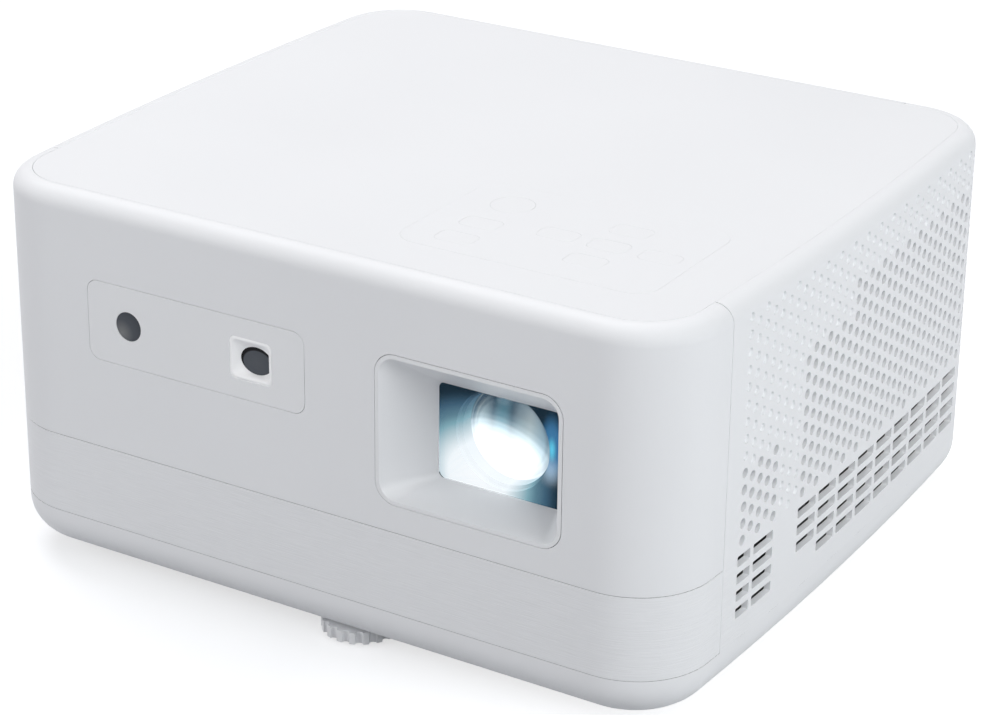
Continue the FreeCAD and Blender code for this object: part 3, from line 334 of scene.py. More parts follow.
caseWhite = {
    "colour": (0.80, 0.81, 0.83), "shade": (0.76, 0.77, 0.79),
    "rough": (0.50, 0.58), "grain": 3000.0, "depth": 0.00002, "gloss": 0.3,
}
bandWhite = {
    **caseWhite, "stretch": (110.0, 110.0, 3000.0), "contrast": 2.2, "lineDepth": 0.00005,
    "fadeY": (-0.028, -0.062), "fadeZ": (0.044, 0.040),
}
lensCentre = (0.0506, 0.068)
lensLook = {
    "colour": (0.012, 0.02, 0.03), "rough": 0.08, "ior": 1.28, "strength": 1.0,
    # painted glow and reflection on the lens face: a white glow, rings of painted reflection at its rim, a
    # tone across it, and darker towards its top and bottom
    "paintedGlowAndReflection": [
        {"centre": lensCentre, "radii": (0.0132, 0.0132), "stops": [
            (0.0, (1.0, 1.0, 1.0)), (0.74, (0.95, 0.98, 1.0)), (0.80, (0.45, 0.52, 0.58)),
            (0.835, (0.70, 0.72, 0.74)), (0.88, (0.30, 0.36, 0.42)), (0.93, (0.10, 0.17, 0.26)),
            (0.965, (0.55, 0.62, 0.66)), (1.0, (0.03, 0.08, 0.14))]},
        {"centre": (0.0485, 0.068), "radii": (0.0132, 1.0), "stops": [
            (0.0, (0.075, 0.195, 0.24)), (0.09, (0.085, 0.19, 0.23)), (0.22, (0.055, 0.10, 0.13)),
            (0.38, (0.22, 0.28, 0.30)), (0.62, (0.38, 0.43, 0.43)), (0.88, (0.22, 0.31, 0.36))]},
        {"centre": (0.0506, 0.0660), "radii": (1.0, 0.0125), "stops": [
            (0.0, (1.0, 1.0, 1.0)), (0.5, (1.0, 1.0, 1.0)), (0.92, (0.60, 0.64, 0.70))]},
    ],
    "glows": [  # painted glow where the projector's light leaves the lens; the real lens gives off this light, here it is emission
        {"centre": (0.0475, 0.0608), "radii": (0.0195, 0.0145), "stops": [
            (0.0, (3.0, 3.0, 3.0)), (0.38, (1.5, 1.5, 1.5)), (0.58, (0.84, 0.87, 0.88)),
            (0.69, (0.50, 0.56, 0.58)), (0.78, (0.18, 0.22, 0.24)), (0.87, (0.05, 0.07, 0.08)),
            (1.0, (0.0, 0.0, 0.0))]},
    ],
}
# painted light on the mask round the lens: a white glow spilling to its lower left and fading to dark blue,
# and two small painted glows
maskLook = {
    "colour": (0.012, 0.016, 0.022), "rough": 0.18, "ior": 1.2, "strength": 1.0,
    "paintedGlowAndReflection": [
        {"centre": (0.0430, 0.0560), "radii": (0.0245, 0.0235), "stops": [
            (0.0, (0.96, 0.97, 0.98)), (0.35, (0.90, 0.93, 0.95)), (0.50, (0.52, 0.63, 0.67)),
            (0.63, (0.21, 0.38, 0.44)), (0.72, (0.105, 0.21, 0.27)), (0.845, (0.045, 0.105, 0.165)),
            (0.93, (0.018, 0.046, 0.074)), (1.0, (0.006, 0.019, 0.033))]},
    ],
    "glows": [
        {"centre": (0.0652, 0.0692), "radii": (0.0042, 0.0112), "stops": [
            (0.0, (0.11, 0.54, 0.73)), (0.4, (0.04, 0.15, 0.30)), (1.0, (0.0, 0.0, 0.0))]},
        {"centre": (0.0648, 0.0630), "radii": (0.0046, 0.0056), "stops": [
            (0.0, (0.24, 0.25, 0.235)), (1.0, (0.0, 0.0, 0.0))]},
    ],
}

finishes = {
    "white_case": plastic("caseWhite", caseWhite),
    "white_trim": plastic("trimWhite", {**caseWhite, "rough": (0.34, 0.40), "colour": (0.82, 0.83, 0.845)}),
    "white_grille": linedPlastic("grilleWhite", bandWhite),
    "key_plastic": plastic("keyWhite", {**caseWhite, "rough": (0.36, 0.42)}),
    "dark_window": plastic("darkWindow", {
        "colour": (0.055, 0.06, 0.068), "shade": (0.045, 0.05, 0.056), "rough": (0.25, 0.3),
        "grain": 900.0, "depth": 0.000004, "coat": 0.6, "coatRough": 0.12}),
    "clear_glass": coatedGlass("coatedWindow", {
        "colour": (0.96, 0.975, 0.985), "rough": (0.0, 0.02), "patch": 60.0, "ior": 1.12,
        "coat": 0.05, "coatTint": (0.7, 0.9, 1.0)}),
    "lens_glass": litGlass("lensGlass", lensLook),
    "black_plastic": plastic("blackPlastic", {
        "colour": (0.018, 0.018, 0.02), "shade": (0.026, 0.026, 0.029), "rough": (0.45, 0.6),
        "grain": 2200.0, "depth": 0.00003}),
    "black_fan": plastic("fanPlastic", {
        "colour": (0.022, 0.022, 0.024), "shade": (0.03, 0.03, 0.034), "rough": (0.3, 0.42),
        "grain": 1200.0, "depth": 0.00001, "coat": 0.2}),
    "cast_metal": metal("castMetal", {
        "colour": (0.50, 0.51, 0.53), "shade": (0.42, 0.43, 0.45), "rough": (0.45, 0.6),
        "stretch": (900.0, 900.0, 900.0), "depth": 0.00004}),
    "fin_metal": metal("finMetal", {
        "colour": (0.66, 0.67, 0.69), "shade": (0.55, 0.56, 0.58), "rough": (0.3, 0.42),
        "stretch": (1200.0, 1200.0, 30.0), "depth": 0.00001}),
    "steel": metal("steel", {
        "colour": (0.62, 0.62, 0.63), "shade": (0.5, 0.5, 0.51), "rough": (0.24, 0.34),
        "stretch": (1500.0, 60.0, 1500.0), "depth": 0.000008}),
    "brass": metal("brass", {
        "colour": (0.74, 0.56, 0.26), "shade": (0.6, 0.44, 0.2), "rough": (0.28, 0.4),
        "stretch": (1500.0, 1500.0, 60.0), "depth": 0.00001}),
    "board_green": circuitBoard("circuitBoard", {
        "colour": (0.01, 0.10, 0.045), "rough": 0.35, "coat": 0.4, "depth": 0.00002,
        "track": (0.03, 0.21, 0.09), "trackScale": 260.0, "trackSpread": 0.7, "trackEdge": (0.04, 0.07)}),
    "phosphor": plastic("phosphorCoat", {
        "colour": (0.80, 0.68, 0.20), "shade": (0.72, 0.60, 0.16), "rough": (0.6, 0.7),
        "grain": 4000.0, "depth": 0.00002}),
    "rubber": plastic("rubber", {
        "colour": (0.16, 0.165, 0.175), "shade": (0.13, 0.135, 0.145), "rough": (0.7, 0.8),
        "grain": 2600.0, "depth": 0.00005}),
    "socket_metal": metal("socketMetal", {
        "colour": (0.60, 0.61, 0.63), "shade": (0.5, 0.51, 0.53), "rough": (0.22, 0.3),
        "stretch": (1200.0, 60.0, 1200.0), "depth": 0.000006}),
    "foot_plastic": plastic("footWhite", {**caseWhite, "rough": (0.4, 0.48)}),
    "cone_paper": plastic("conePaper", {
        "colour": (0.03, 0.03, 0.033), "shade": (0.045, 0.045, 0.05), "rough": (0.75, 0.85),
        "grain": 1500.0, "depth": 0.00008}),
}
maskFinish = litGlass("paintedGlowMask", maskLook)
smokedFinishes = {
    # painted light and shade: the receiver's window is brighter round a point to one side and darker away
    # from it
    "ir_window": smokedWindow("smokedReceiver", {"rough": 0.3, "ior": 1.22, "paintedShading": {
        "centre": (-0.0607, 0.0772), "radii": (0.0085, 0.0085), "stops": [
            (0.0, (0.19, 0.195, 0.20)), (0.45, (0.072, 0.080, 0.094)), (0.9, (0.050, 0.056, 0.068))]}}),
    # painted shadow: the sensor's window turns near-black at its rim, where the funnel shades it
    "distance_sensor_lens": smokedWindow("smokedSensor", {"rough": 0.3, "ior": 1.2, "paintedShading": {
        "centre": (-0.01700, 0.07785), "radii": (0.0051, 0.0039), "stops": [
            (0.0, (0.090, 0.098, 0.112)), (0.88, (0.080, 0.088, 0.102)), (0.96, (0.003, 0.003, 0.004))]}}),
}
# painted light: a brighter copy of the case white for the hole walls and the sensor's funnel, standing in for
# the light they catch
paintedLitLook = {**caseWhite, "colour": (0.95, 0.955, 0.965), "shade": (0.93, 0.935, 0.945)}
paintedLitWhite = plastic("paintedLitWhite", paintedLitLook)
paintedLitHoleWall = wallPlastic("paintedLitHoleWall", {**paintedLitLook, "paintedBounce": (0.075, 0.080, 0.089)})
# painted shade: a near-black coat for the inner faces of the covers, where the inside of the case lies in
# shade
paintedShadeCoat = plastic("paintedShadeCoat", {
    "colour": (0.055, 0.056, 0.06), "shade": (0.045, 0.046, 0.05), "rough": (0.6, 0.7),
    "grain": 1800.0, "depth": 0.00003})
bandFinish = linedPlastic("bandWhite", {**bandWhite, "fadeY": (0.2, 0.1), "fadeZ": (0.06, 0.05)})
print("materials made:", len(bpy.data.materials))

# helpers for new pieces


def makePiece(name, mesh, finish, body="housing", replaced=(), crease=50.0):
    mesh.shade_smooth()
    mesh.set_sharp_from_angle(angle=math.radians(crease))
    mesh.materials.append(finish)
    piece = bpy.data.objects.new(name, mesh)
    bpy.context.scene.collection.objects.link(piece)
    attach(piece, body)
    if replaced:
        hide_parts(*replaced)
    return piece


def toMesh(bm, name):
    mesh = bpy.data.meshes.new(name)
    bm.to_mesh(mesh)
    bm.free()
    return mesh


def evenShading(piece):
    soft = piece.modifiers.new("evenShading", "WEIGHTED_NORMAL")
    soft.keep_sharp = True
    soft.weight = 80


# form of the case in plan

caseForm = {"width": 0.220, "depth": 0.1974, "swell": 0.00327, "cornerRadius": 0.0221, "topRadius": 0.005,
            "bottomRadius": 0.0109, "topInset": 0.0055, "wall": 0.00185, "seam": 0.00016}


def casePlan(form):  # the side's swell is one arc, which the corner's arc meets smoothly
    half, swell, corner = form["depth"] / 2, form["swell"], form["cornerRadius"]
    radius = (half * half + swell * swell) / (2 * swell)
    centreX = form["width"] / 2 - radius
    cornerY = half - corner
    start = math.asin(cornerY / (radius - corner))
    cornerX = centreX + (radius - corner) * math.cos(start)
    return {"radius": radius, "centreX": centreX, "corner": corner, "cornerX": cornerX, "cornerY": cornerY,
            "start": start, "turn": math.pi / 2 - start}


plan = casePlan(caseForm)
sideLow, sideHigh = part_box("right_grille")
plan["first"] = math.asin(sideLow.y / plan["radius"])  # angle where the cover starts at the front
plan["sideLength"] = plan["radius"] * (plan["start"] - plan["first"])
plan["cornerLength"] = plan["corner"] * plan["turn"]
plan["backLength"] = plan["cornerX"] - (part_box("rear_cover")[1].x + caseForm["seam"])

# covers: each solid with its edges eased, as moulded

sideEdge = sideLow.y - caseForm["seam"]  # where the front's covers end beside the pierced ones
# x, y and z ranges that hold one edge or opening of a cover
allAcross, allDeep, allHigh = (-0.12, 0.12), (-0.1, 0.1), (0.0, 0.12)
trayRim, bandRim = (0.0171, 0.0174), (0.0409, 0.0412)
sideMove = (allAcross, (sideEdge - 0.00002, sideEdge + 0.00002), allHigh, (0, 0.00008, 0))
lensMouth = {
    "left": (0.0215, 0.0506), "right": (0.0506, 0.0800), "across": (0.0200, 0.0800),
    "low": (0.0488, 0.0680), "top": (0.0680, 0.0916), "high": (0.0488, 0.0916),
    "deep": (-0.0995, -0.0955),
}
panelEnd = {
    "across": (-0.0749, -0.0710), "high": (0.0673, 0.0909), "shift": (0.00285, 0, 0),
    "recess": (-0.0995, -0.0969), "deep": (-0.0995, -0.0965),
}
keySigns = ("power", "source", "menu", "ok", "up", "down", "left", "right")
coverEase = {
    "weld": 0.000002, "flatAngle": 0.05, "sharpAngle": 38.0, "steps": 2,
    # node: radius of the eased edge, and how far its upright walls are let out to close the joint line
    "covers": {
        "base_tray": (0.00008, 0.0), "front_band": (0.00012, 0.0), "front_cover": (0.00012, 0.0),
        "rear_cover": (0.0002, 0.0), "top_panel": (0.00008, 0.00003), "keypad_frame": (0.00006, 0.00005),
        "sensor_panel": (0.00022, 0.0), "lens_surround": (0.0004, 0.0), "rear_feet": (0.0009, 0.0),
        "foot_pad": (0.0002, 0.0), "foot_knob": (0.0003, 0.0), "power_inlet": (0.0003, 0.0),
        **{sign + "_key": (0.00006, 0.00006) for sign in keySigns},
    },
    # the ends of the two front openings and of the sensor panel, and the rims that close the joint lines:
    # x, y and z range, then the move
    "moves": {
        "base_tray": [
            (allAcross, allDeep, trayRim, (0, 0, 0.00013)),
            (allAcross, (sideEdge, 0.1), trayRim, (0, 0, 0.000025)),
        ],
        "front_band": [(allAcross, allDeep, bandRim, (0, 0, 0.00006)), sideMove],
        "front_cover": [
            sideMove,
            (lensMouth["right"], lensMouth["deep"], lensMouth["high"], (-0.00319, 0, 0)),
            (lensMouth["left"], lensMouth["deep"], lensMouth["high"], (-0.00088, 0, 0)),
            (lensMouth["across"], lensMouth["deep"], lensMouth["top"], (0, 0, 0.00005)),
            (lensMouth["across"], lensMouth["deep"], lensMouth["low"], (0, 0, -0.00005)),
            (panelEnd["across"], panelEnd["recess"], panelEnd["high"], panelEnd["shift"]),
        ],
        "sensor_panel": [(panelEnd["across"], panelEnd["deep"], panelEnd["high"], panelEnd["shift"])],
    },
    # covers painted dark inside, a painted shade for the case's interior, and the depth under the skin where
    # it starts
    "shadedInside": ("base_tray", "front_band", "front_cover", "rear_cover", "top_panel"), "shadeStart": 0.0025,
}
# the surround: how far its mouth and its window's rim move, and where its window's wall starts
surroundShape = {
    "centre": (0.0506, 0.0680), "wallEnd": -0.0960, "rim": -0.0877, "back": -0.0859, "rimLand": 0.00005,
    "mouth": {"left": -0.00085, "right": -0.00324, "top": 0.0, "bottom": 0.0},
    "window": {"left": -0.00105, "right": 0.0014, "top": -0.00076, "bottom": -0.0010},
}
bodyOf = {node: body for body, held in frame["record"]["behaviour"]["bodies"].items() for node in held}
trayFloor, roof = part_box("base_tray")[0].z, cadBox[1][2]


def moveEnds(bm, moves):
    for *ranges, shift in moves:
        ends = [v for v in bm.verts if all(a <= v.co[n] <= b for n, (a, b) in enumerate(ranges))]
        bmesh.ops.translate(bm, verts=ends, vec=shift)


def reshapeSurround(bm, look):
    bm.normal_update()
    front, rim, back = min(v.co.y for v in bm.verts), look["rim"], look["back"]
    for vert in bm.verts:
        away = Vector((vert.co.x - look["centre"][0], 0, vert.co.z - look["centre"][1]))
        sides = ("right" if away.x > 0 else "left", "top" if away.z > 0 else "bottom")
        facesOut = vert.normal.dot(away) > 0
        start, end = (look["wallEnd"], back) if facesOut else (front, rim)
        share = min(max((vert.co.y - start) / (end - start), 0), 1)
        if not facesOut:
            deep = vert.co.y > rim
            vert.co.y = back - (back - vert.co.y) * look["rimLand"] / (back - rim) if deep else (
                front + share * (back - look["rimLand"] - front))
        shift = [look["mouth"][side] * (1 - share) + look["window"][side] * share for side in sides]
        vert.co += Vector((shift[0], 0, shift[1]))


def letOut(bm, grow):
    wallTilt, leastShare = 0.3, 0.5  # the lean that still counts as a wall, and the cap at sharp corners
    bm.normal_update()
    shifts = []
    for vert in bm.verts:
        walls = [f.normal for f in vert.link_faces if abs(f.normal.z) < wallTilt]
        if walls:
            mean = sum(walls, Vector()).normalized()
            shifts.append((vert, mean * (grow / max(mean.dot(walls[0]), leastShare))))
    for vert, shift in shifts:
        vert.co += shift


def roundedDepth(inset, height, radius):  # depth under the skin beside a rounded edge
    if inset < radius and height < radius:
        return radius - math.hypot(radius - inset, radius - height)
    return min(inset, height)


def isInside(point, start):
    half = caseForm["depth"] / 2
    side = plan["centreX"] + math.sqrt(plan["radius"] ** 2 - min(abs(point.y), half) ** 2)
    inset = min(side - abs(point.x), half - abs(point.y))
    if abs(point.x) > plan["cornerX"] and abs(point.y) > plan["cornerY"]:
        inset = plan["corner"] - math.hypot(abs(point.x) - plan["cornerX"], abs(point.y) - plan["cornerY"])
    below = roundedDepth(inset, roof - point.z, caseForm["topRadius"])
    above = roundedDepth(inset, point.z - trayFloor, caseForm["bottomRadius"])
    return min(below, above) > start


def easedCopy(node, radius, grow, look):
    bm = bmesh.new()
    bm.from_mesh(nodes[node].data)
    bmesh.ops.remove_doubles(bm, verts=bm.verts, dist=look["weld"])
    bmesh.ops.dissolve_limit(bm, angle_limit=math.radians(look["flatAngle"]), verts=bm.verts, edges=bm.edges)
    moveEnds(bm, look["moves"].get(node, []))
    if node == "lens_surround":
        reshapeSurround(bm, surroundShape)
    if grow:
        letOut(bm, grow)
    limit = math.radians(look["sharpAngle"])
    sharp = [e for e in bm.edges if e.is_manifold and e.calc_face_angle() > limit]
    bmesh.ops.bevel(bm, geom=sharp, offset=radius, segments=look["steps"], profile=0.5, affect="EDGES",
                    material=-1, clamp_overlap=True)
    # inner faces take the painted shade
    if node in look["shadedInside"]:
        for face in bm.faces:
            face.material_index = int(isInside(face.calc_center_median(), look["shadeStart"]))
    return toMesh(bm, node + "_eased")


slotOf = {part["node"]: part["material_slot"] for part in frame["record"]["subparts"]}
for node, (radius, grow) in coverEase["covers"].items():
    slot = slotOf[node]
    finish = bandFinish if node == "front_band" else finishes[slot]
    eased = easedCopy(node, radius, grow, coverEase)
    piece = makePiece(node + "_eased", eased, finish, bodyOf[node], [node])
    if node in coverEase["shadedInside"]:
        eased.materials.append(paintedShadeCoat)
    evenShading(piece)
print("covers eased:", len(coverEase["covers"]))

# pierced side covers, made flat and then bent round the case

sideCover = {
    "pitch": 0.004752, "holeRadius": 0.00145, "holeSides": 12,
    "firstY": -0.06233, "firstZ": 0.0459, "columns": 36, "rows": (14, 13),  # even and odd columns
    # first and last column, holes in an even column, holes in an odd one
    "rightFields": ((0, 4, 5, 4), (8, 14, 9, 9), (15, 35, 11, 11)),
    "leftFields": ((0, 4, 5, 4), (8, 14, 9, 9)),
    "dimpleRadius": 0.0013, "dimpleSlope": 0.00035, "dimpleDepth": 0.0006,
    # a point above the first level is skin, and a face that reaches below the second is wall
    "skinLevel": -1e-6, "wallLevel": -0.0007,
    "slotTop": 0.0418, "slotHeight": 0.003, "slotStep": 0.005, "slotCorner": 0.00035,
    # start, width and rows of each column of slots
    "slotColumns": [(-0.0642, 0.0067, 4), (-0.0558, 0.0105, 4), (-0.0313, 0.0105, 3)]
    + [(-0.0313 + 0.01235 * n, 0.0105, 4) for n in range(1, 9)],
    "bulgeCuts": 8, "cornerCuts": 14, "topCuts": 6,
}


def planPoint(along):
    if along < plan["sideLength"]:
        angle = plan["first"] + along / plan["radius"]
        normal = Vector((math.cos(angle), math.sin(angle)))
        return Vector((plan["centreX"], 0)) + normal * plan["radius"], normal
    past = along - plan["sideLength"]
    angle = plan["start"] + min(past / plan["corner"], plan["turn"])
    normal = Vector((math.cos(angle), math.sin(angle)))
    point = Vector((plan["cornerX"], plan["cornerY"])) + normal * plan["corner"]
    point.x -= max(past - plan["cornerLength"], 0)
    return point, normal


def alongOf(y):
    return plan["radius"] * (math.asin(y / plan["radius"]) - plan["first"])


upright = sideHigh.z - caseForm["topRadius"] - sideLow.z  # height of the straight part of the side
topArc = caseForm["topRadius"] * math.pi / 2
rimFlat = caseForm["topInset"] - caseForm["topRadius"]


def bent(flat):  # a point of the flat sheet, with its depth in z, on the case
    point, normal = planPoint(flat.x)
    tilt = min(max(flat.y - upright, 0) / caseForm["topRadius"], math.pi / 2)
    over = max(flat.y - upright - topArc, 0)
    radius = caseForm["topRadius"] + flat.z
    inset = over + caseForm["topRadius"] - radius * math.cos(tilt)
    level = sideLow.z + min(flat.y, upright) + radius * math.sin(tilt)
    outward = Vector((*(normal * math.cos(tilt)), math.sin(tilt)))
    return Vector((*(point - normal * inset), level)), outward


def inOrder(items):  # each item once, in an order that is the same at every run
    return list(dict.fromkeys(items))


def addLoop(bm, shape):  # edges only of the faces that shape makes
    before = set(bm.faces)
    shape()
    made = [f for f in bm.faces if f not in before]
    edges = inOrder(e for f in made for e in f.edges)
    bmesh.ops.delete(bm, geom=made, context="FACES_ONLY")
    return edges


def boxFace(bm, x0, x1, y0, y1, corner=0.0, steps=2):
    place = Matrix.Translation(((x0 + x1) / 2, (y0 + y1) / 2, 0)) @ Matrix.Diagonal((x1 - x0, y1 - y0, 1, 1))
    made = bmesh.ops.create_grid(bm, x_segments=1, y_segments=1, size=0.5, matrix=place)
    if corner:
        bmesh.ops.bevel(bm, geom=made["verts"], offset=corner, segments=steps, profile=0.5, affect="VERTICES",
                        material=-1)


def roundHole(bm, x, y, radius, sides):
    made = bmesh.ops.create_circle(bm, cap_ends=False, segments=sides, radius=radius,
                                   matrix=Matrix.Translation((x, y, 0)))
    return inOrder(e for v in made["verts"] for e in v.link_edges)


def latticePoints(look):
    columnStep = look["pitch"] * math.sqrt(3) / 2
    for column in range(look["columns"]):
        odd = column % 2
        for row in range(look["rows"][odd]):
            along = alongOf(look["firstY"]) + columnStep * column
            yield column, row, along, look["firstZ"] + look["pitch"] * (row + odd / 2) - sideLow.z


def pierced(fields, column, row):
    for first, last, *rows in fields:
        if first <= column <= last and row < rows[column % 2]:
            return True
    return False


def sortFaces(bm):  # extruding leaves them in a chance order
    bm.verts.index_update()
    count = len(bm.verts)
    for parts in (bm.edges, bm.faces):
        parts.sort(key=lambda part: part.verts[0].index * count + part.verts[1].index)


def sideSheet(look, fields, side):
    bm = bmesh.new()
    length = plan["sideLength"] + plan["cornerLength"] + plan["backLength"]
    height = upright + topArc + rimFlat
    addLoop(bm, lambda: boxFace(bm, 0, length, 0, height))
    for start, width, rows in look["slotColumns"]:
        for row in range(rows):
            top = look["slotTop"] - look["slotStep"] * row - sideLow.z
            x = alongOf(start)
            addLoop(bm, lambda: boxFace(bm, x, x + width, top - look["slotHeight"], top, look["slotCorner"]))
    dimpleEdges = []
    for column, row, x, y in latticePoints(look):
        if pierced(fields, column, row):
            roundHole(bm, x, y, look["holeRadius"], look["holeSides"])
        else:
            dimpleEdges += roundHole(bm, x, y, look["dimpleRadius"], look["holeSides"])
    bmesh.ops.triangle_fill(bm, edges=bm.edges[:], use_beauty=True, use_dissolve=False, normal=(0, 0, 1))
    sheetFaces = set(bm.faces)
    bmesh.ops.edgeloop_fill(bm, edges=dimpleEdges, mat_nr=0, use_smooth=True)
    dimples = [f for f in bm.faces if f not in sheetFaces]
    for face in bm.faces:
        if face.normal.z < 0:
            face.normal_flip()
    walled = bmesh.ops.extrude_face_region(bm, geom=bm.faces[:], use_keep_orig=True)
    lower = [item for item in walled["geom"] if isinstance(item, bmesh.types.BMVert)]
    bmesh.ops.translate(bm, verts=lower, vec=(0, 0, -caseForm["wall"]))
    bmesh.ops.recalc_face_normals(bm, faces=bm.faces)
    bmesh.ops.inset_individual(bm, faces=dimples, thickness=look["dimpleSlope"], depth=-look["dimpleDepth"],
                               use_even_offset=True)
    cuts = [(plan["sideLength"] * (n + 1) / look["bulgeCuts"], 0) for n in range(look["bulgeCuts"])]
    cuts += [(plan["sideLength"] + plan["cornerLength"] * (n + 1) / look["cornerCuts"], 0)
             for n in range(look["cornerCuts"])]
    cuts += [(upright + topArc * n / look["topCuts"], 1) for n in range(look["topCuts"] + 1)]
    for place, axis in cuts:
        across = Vector((1 - axis, axis, 0))
        bmesh.ops.bisect_plane(bm, geom=bm.verts[:] + bm.edges[:] + bm.faces[:], dist=1e-7,
                               plane_co=across * place, plane_no=across)
    for face in bm.faces:
        face.material_index = int(min(v.co.z for v in face.verts) < look["wallLevel"])
    outward = []
    onSkin = []
    for vert in bm.verts:
        onSkin.append(vert.co.z > look["skinLevel"])
        vert.co, normal = bent(vert.co)
        outward.append(normal)
    if side < 0:
        for vert in bm.verts:
            vert.co.x = -vert.co.x
        bmesh.ops.reverse_faces(bm, faces=bm.faces)
        outward = [Vector((-n.x, n.y, n.z)) for n in outward]
    sortFaces(bm)
    return toMesh(bm, "sideSheet"), outward, onSkin


def trueNormals(mesh, outward, onSkin):  # the skin shades as one smooth surface between its holes
    normals = []
    for face in mesh.polygons:
        skin = all(onSkin[v] for v in face.vertices)
        normals += [outward[v] if skin else Vector((0, 0, 0)) for v in face.vertices]
    mesh.normals_split_custom_set(normals)


for node, side, fields in (("right_grille", 1, "rightFields"), ("left_grille", -1, "leftFields")):
    sheet, outward, onSkin = sideSheet(sideCover, sideCover[fields], side)
    makePiece(node + "_pierced", sheet, finishes["white_grille"], "housing", [node],
              crease=35.0)
    sheet.materials.append(paintedLitHoleWall)
    nearSkin = sheet.attributes.new("nearSkin", "FLOAT", "POINT")
    nearSkin.data.foreach_set("value", [float(skin) for skin in onSkin])
    trueNormals(sheet, outward, onSkin)
    print("side cover made:", node, len(sheet.polygons), "faces")

# small pieces: the sensor's funnel and its window, the receiver's window, the mains pins

sensorFunnel = {
    "throat": (0.0051, 0.00392), "aside": (0.00075, -0.00052), "sides": 48,
    "corner": 0.0016, "cornerSteps": 4,
    # inset from the panel's mouth, and depth behind the panel's face
    "rims": [(0.0001, 0.0012), (0.0001, 0.00022), (0.0003, 0.00006), (0.00055, 0.00001), (0.0008, 0.00006),
             (0.00105, 0.00028)],
    "mouth": (0.0137, 0.0121), "throatStart": 0.0018, "throatEnd": 0.0032,
    "glass": 0.0019, "glassOver": 0.00001,  # depth of the window, and how far it reaches into the wall
}
# sink: how far the pins start behind the inlet's outer face
mainsPins = {"radius": 0.00122, "pitch": 0.0086, "length": 0.0095, "tip": 0.0004, "sink": 0.0127}
turnSteps = 48


def turned(name, profile, place, stretch=1.0):  # radius and depth pairs, spun about a front-to-back axis
    bm = bmesh.new()
    verts = [bm.verts.new((place.x + radius, y, place.z)) for radius, y in profile]
    edges = [bm.edges.new(pair) for pair in zip(verts, verts[1:])]
    bmesh.ops.spin(bm, geom=verts + edges, cent=place, axis=(0, 1, 0), angle=2 * math.pi, steps=turnSteps,
                   use_merge=True)
    bmesh.ops.remove_doubles(bm, verts=bm.verts, dist=1e-6)
    bmesh.ops.scale(bm, vec=(stretch, 1, 1), space=Matrix.Translation(-place), verts=bm.verts)
    bmesh.ops.recalc_face_normals(bm, faces=bm.faces)
    return toMesh(bm, name)


def stood(bm, edges, place, depth):  # from the flat onto the front, facing it
    verts = inOrder(v for e in edges for v in e.verts)
    turn = Matrix.Translation(place + Vector((0, depth, 0))) @ Matrix.Rotation(math.pi / 2, 4, "X")
    bmesh.ops.transform(bm, matrix=turn, verts=verts)
    return edges


def frontLoop(bm, place, inset, depth, look):
    halfWidth, halfHeight = look["mouth"][0] / 2 - inset, look["mouth"][1] / 2 - inset
    rounded = addLoop(bm, lambda: boxFace(bm, -halfWidth, halfWidth, -halfHeight, halfHeight, look["corner"],
                                          look["cornerSteps"]))
    return stood(bm, rounded, place, depth)


def throatLoop(bm, place, depth, look):
    halfWidth, halfHeight = look["throat"]
    oval = roundHole(bm, 0, 0, halfHeight, look["sides"])
    bmesh.ops.scale(bm, vec=(halfWidth / halfHeight, 1, 1), verts=inOrder(v for e in oval for v in e.verts))
    return stood(bm, oval, place + Vector((look["aside"][0], 0, look["aside"][1])), depth)


def makeFunnel(look, place):
    bm = bmesh.new()
    rings = [frontLoop(bm, place, inset, depth, look) for inset, depth in look["rims"]]
    rings += [throatLoop(bm, place, depth, look) for depth in (look["throatStart"], look["throatEnd"])]
    for first, second in zip(rings, rings[1:] + rings[:1]):
        bmesh.ops.bridge_loops(bm, edges=first + second)
    bmesh.ops.recalc_face_normals(bm, faces=bm.faces)
    # the funnel takes the brighter copy of the case white, painted light
    makePiece("sensor_funnel", toMesh(bm, "sensor_funnel"), paintedLitWhite, crease=40.0)


def makeWindow(node, place, radius, front, stretch=1.0):
    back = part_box(node)[1].y
    glass = [(0, front), (radius, front), (radius, back), (0, back)]
    makePiece(node + "_smoked", turned(node + "_smoked", glass, place, stretch), smokedFinishes[node],
              "housing", [node], crease=30.0)


eyeLow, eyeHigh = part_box("distance_sensor_lens")
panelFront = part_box("sensor_panel")[0].y
eyePlace = Vector(((eyeLow.x + eyeHigh.x) / 2, panelFront, (eyeLow.z + eyeHigh.z) / 2))
makeFunnel(sensorFunnel, eyePlace)
across, upward = sensorFunnel["throat"]
makeWindow("distance_sensor_lens", eyePlace + Vector((sensorFunnel["aside"][0], 0, sensorFunnel["aside"][1])),
           upward + sensorFunnel["glassOver"], panelFront + sensorFunnel["glass"], across / upward)
receiverLow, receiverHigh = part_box("ir_window")
makeWindow("ir_window", (receiverLow + receiverHigh) / 2, (receiverHigh.x - receiverLow.x) / 2, receiverLow.y)

inletLow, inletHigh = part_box("power_inlet")
for side in (-0.5, 0.5):
    place = (inletLow + inletHigh) / 2 + Vector((side * mainsPins["pitch"], 0, 0))
    base = inletHigh.y - mainsPins["sink"]
    end, radius, tip = base + mainsPins["length"], mainsPins["radius"], mainsPins["tip"]
    pin = [(radius, base), (radius, end - tip), (radius - tip, end), (0, end)]
    makePiece("mainsPin", turned("mainsPin", pin, place), finishes["steel"], crease=30.0)
print("turned pieces made")

# the other solids keep their shape and get their finish

# these pieces glow with the lens's light painted onto them as emission
paintedLensGlowParts = ("lens_mask", "focus_cell", "lens_barrel")

for node, obj in nodes.items():
    finish = maskFinish if node in paintedLensGlowParts else finishes[slotOf[node]]
    if not obj.material_slots:
        obj.data.materials.append(finish)
    for slot in obj.material_slots:
        slot.link = "OBJECT"
        slot.material = finish
print("finishes given to the solids")

# floor, light and background

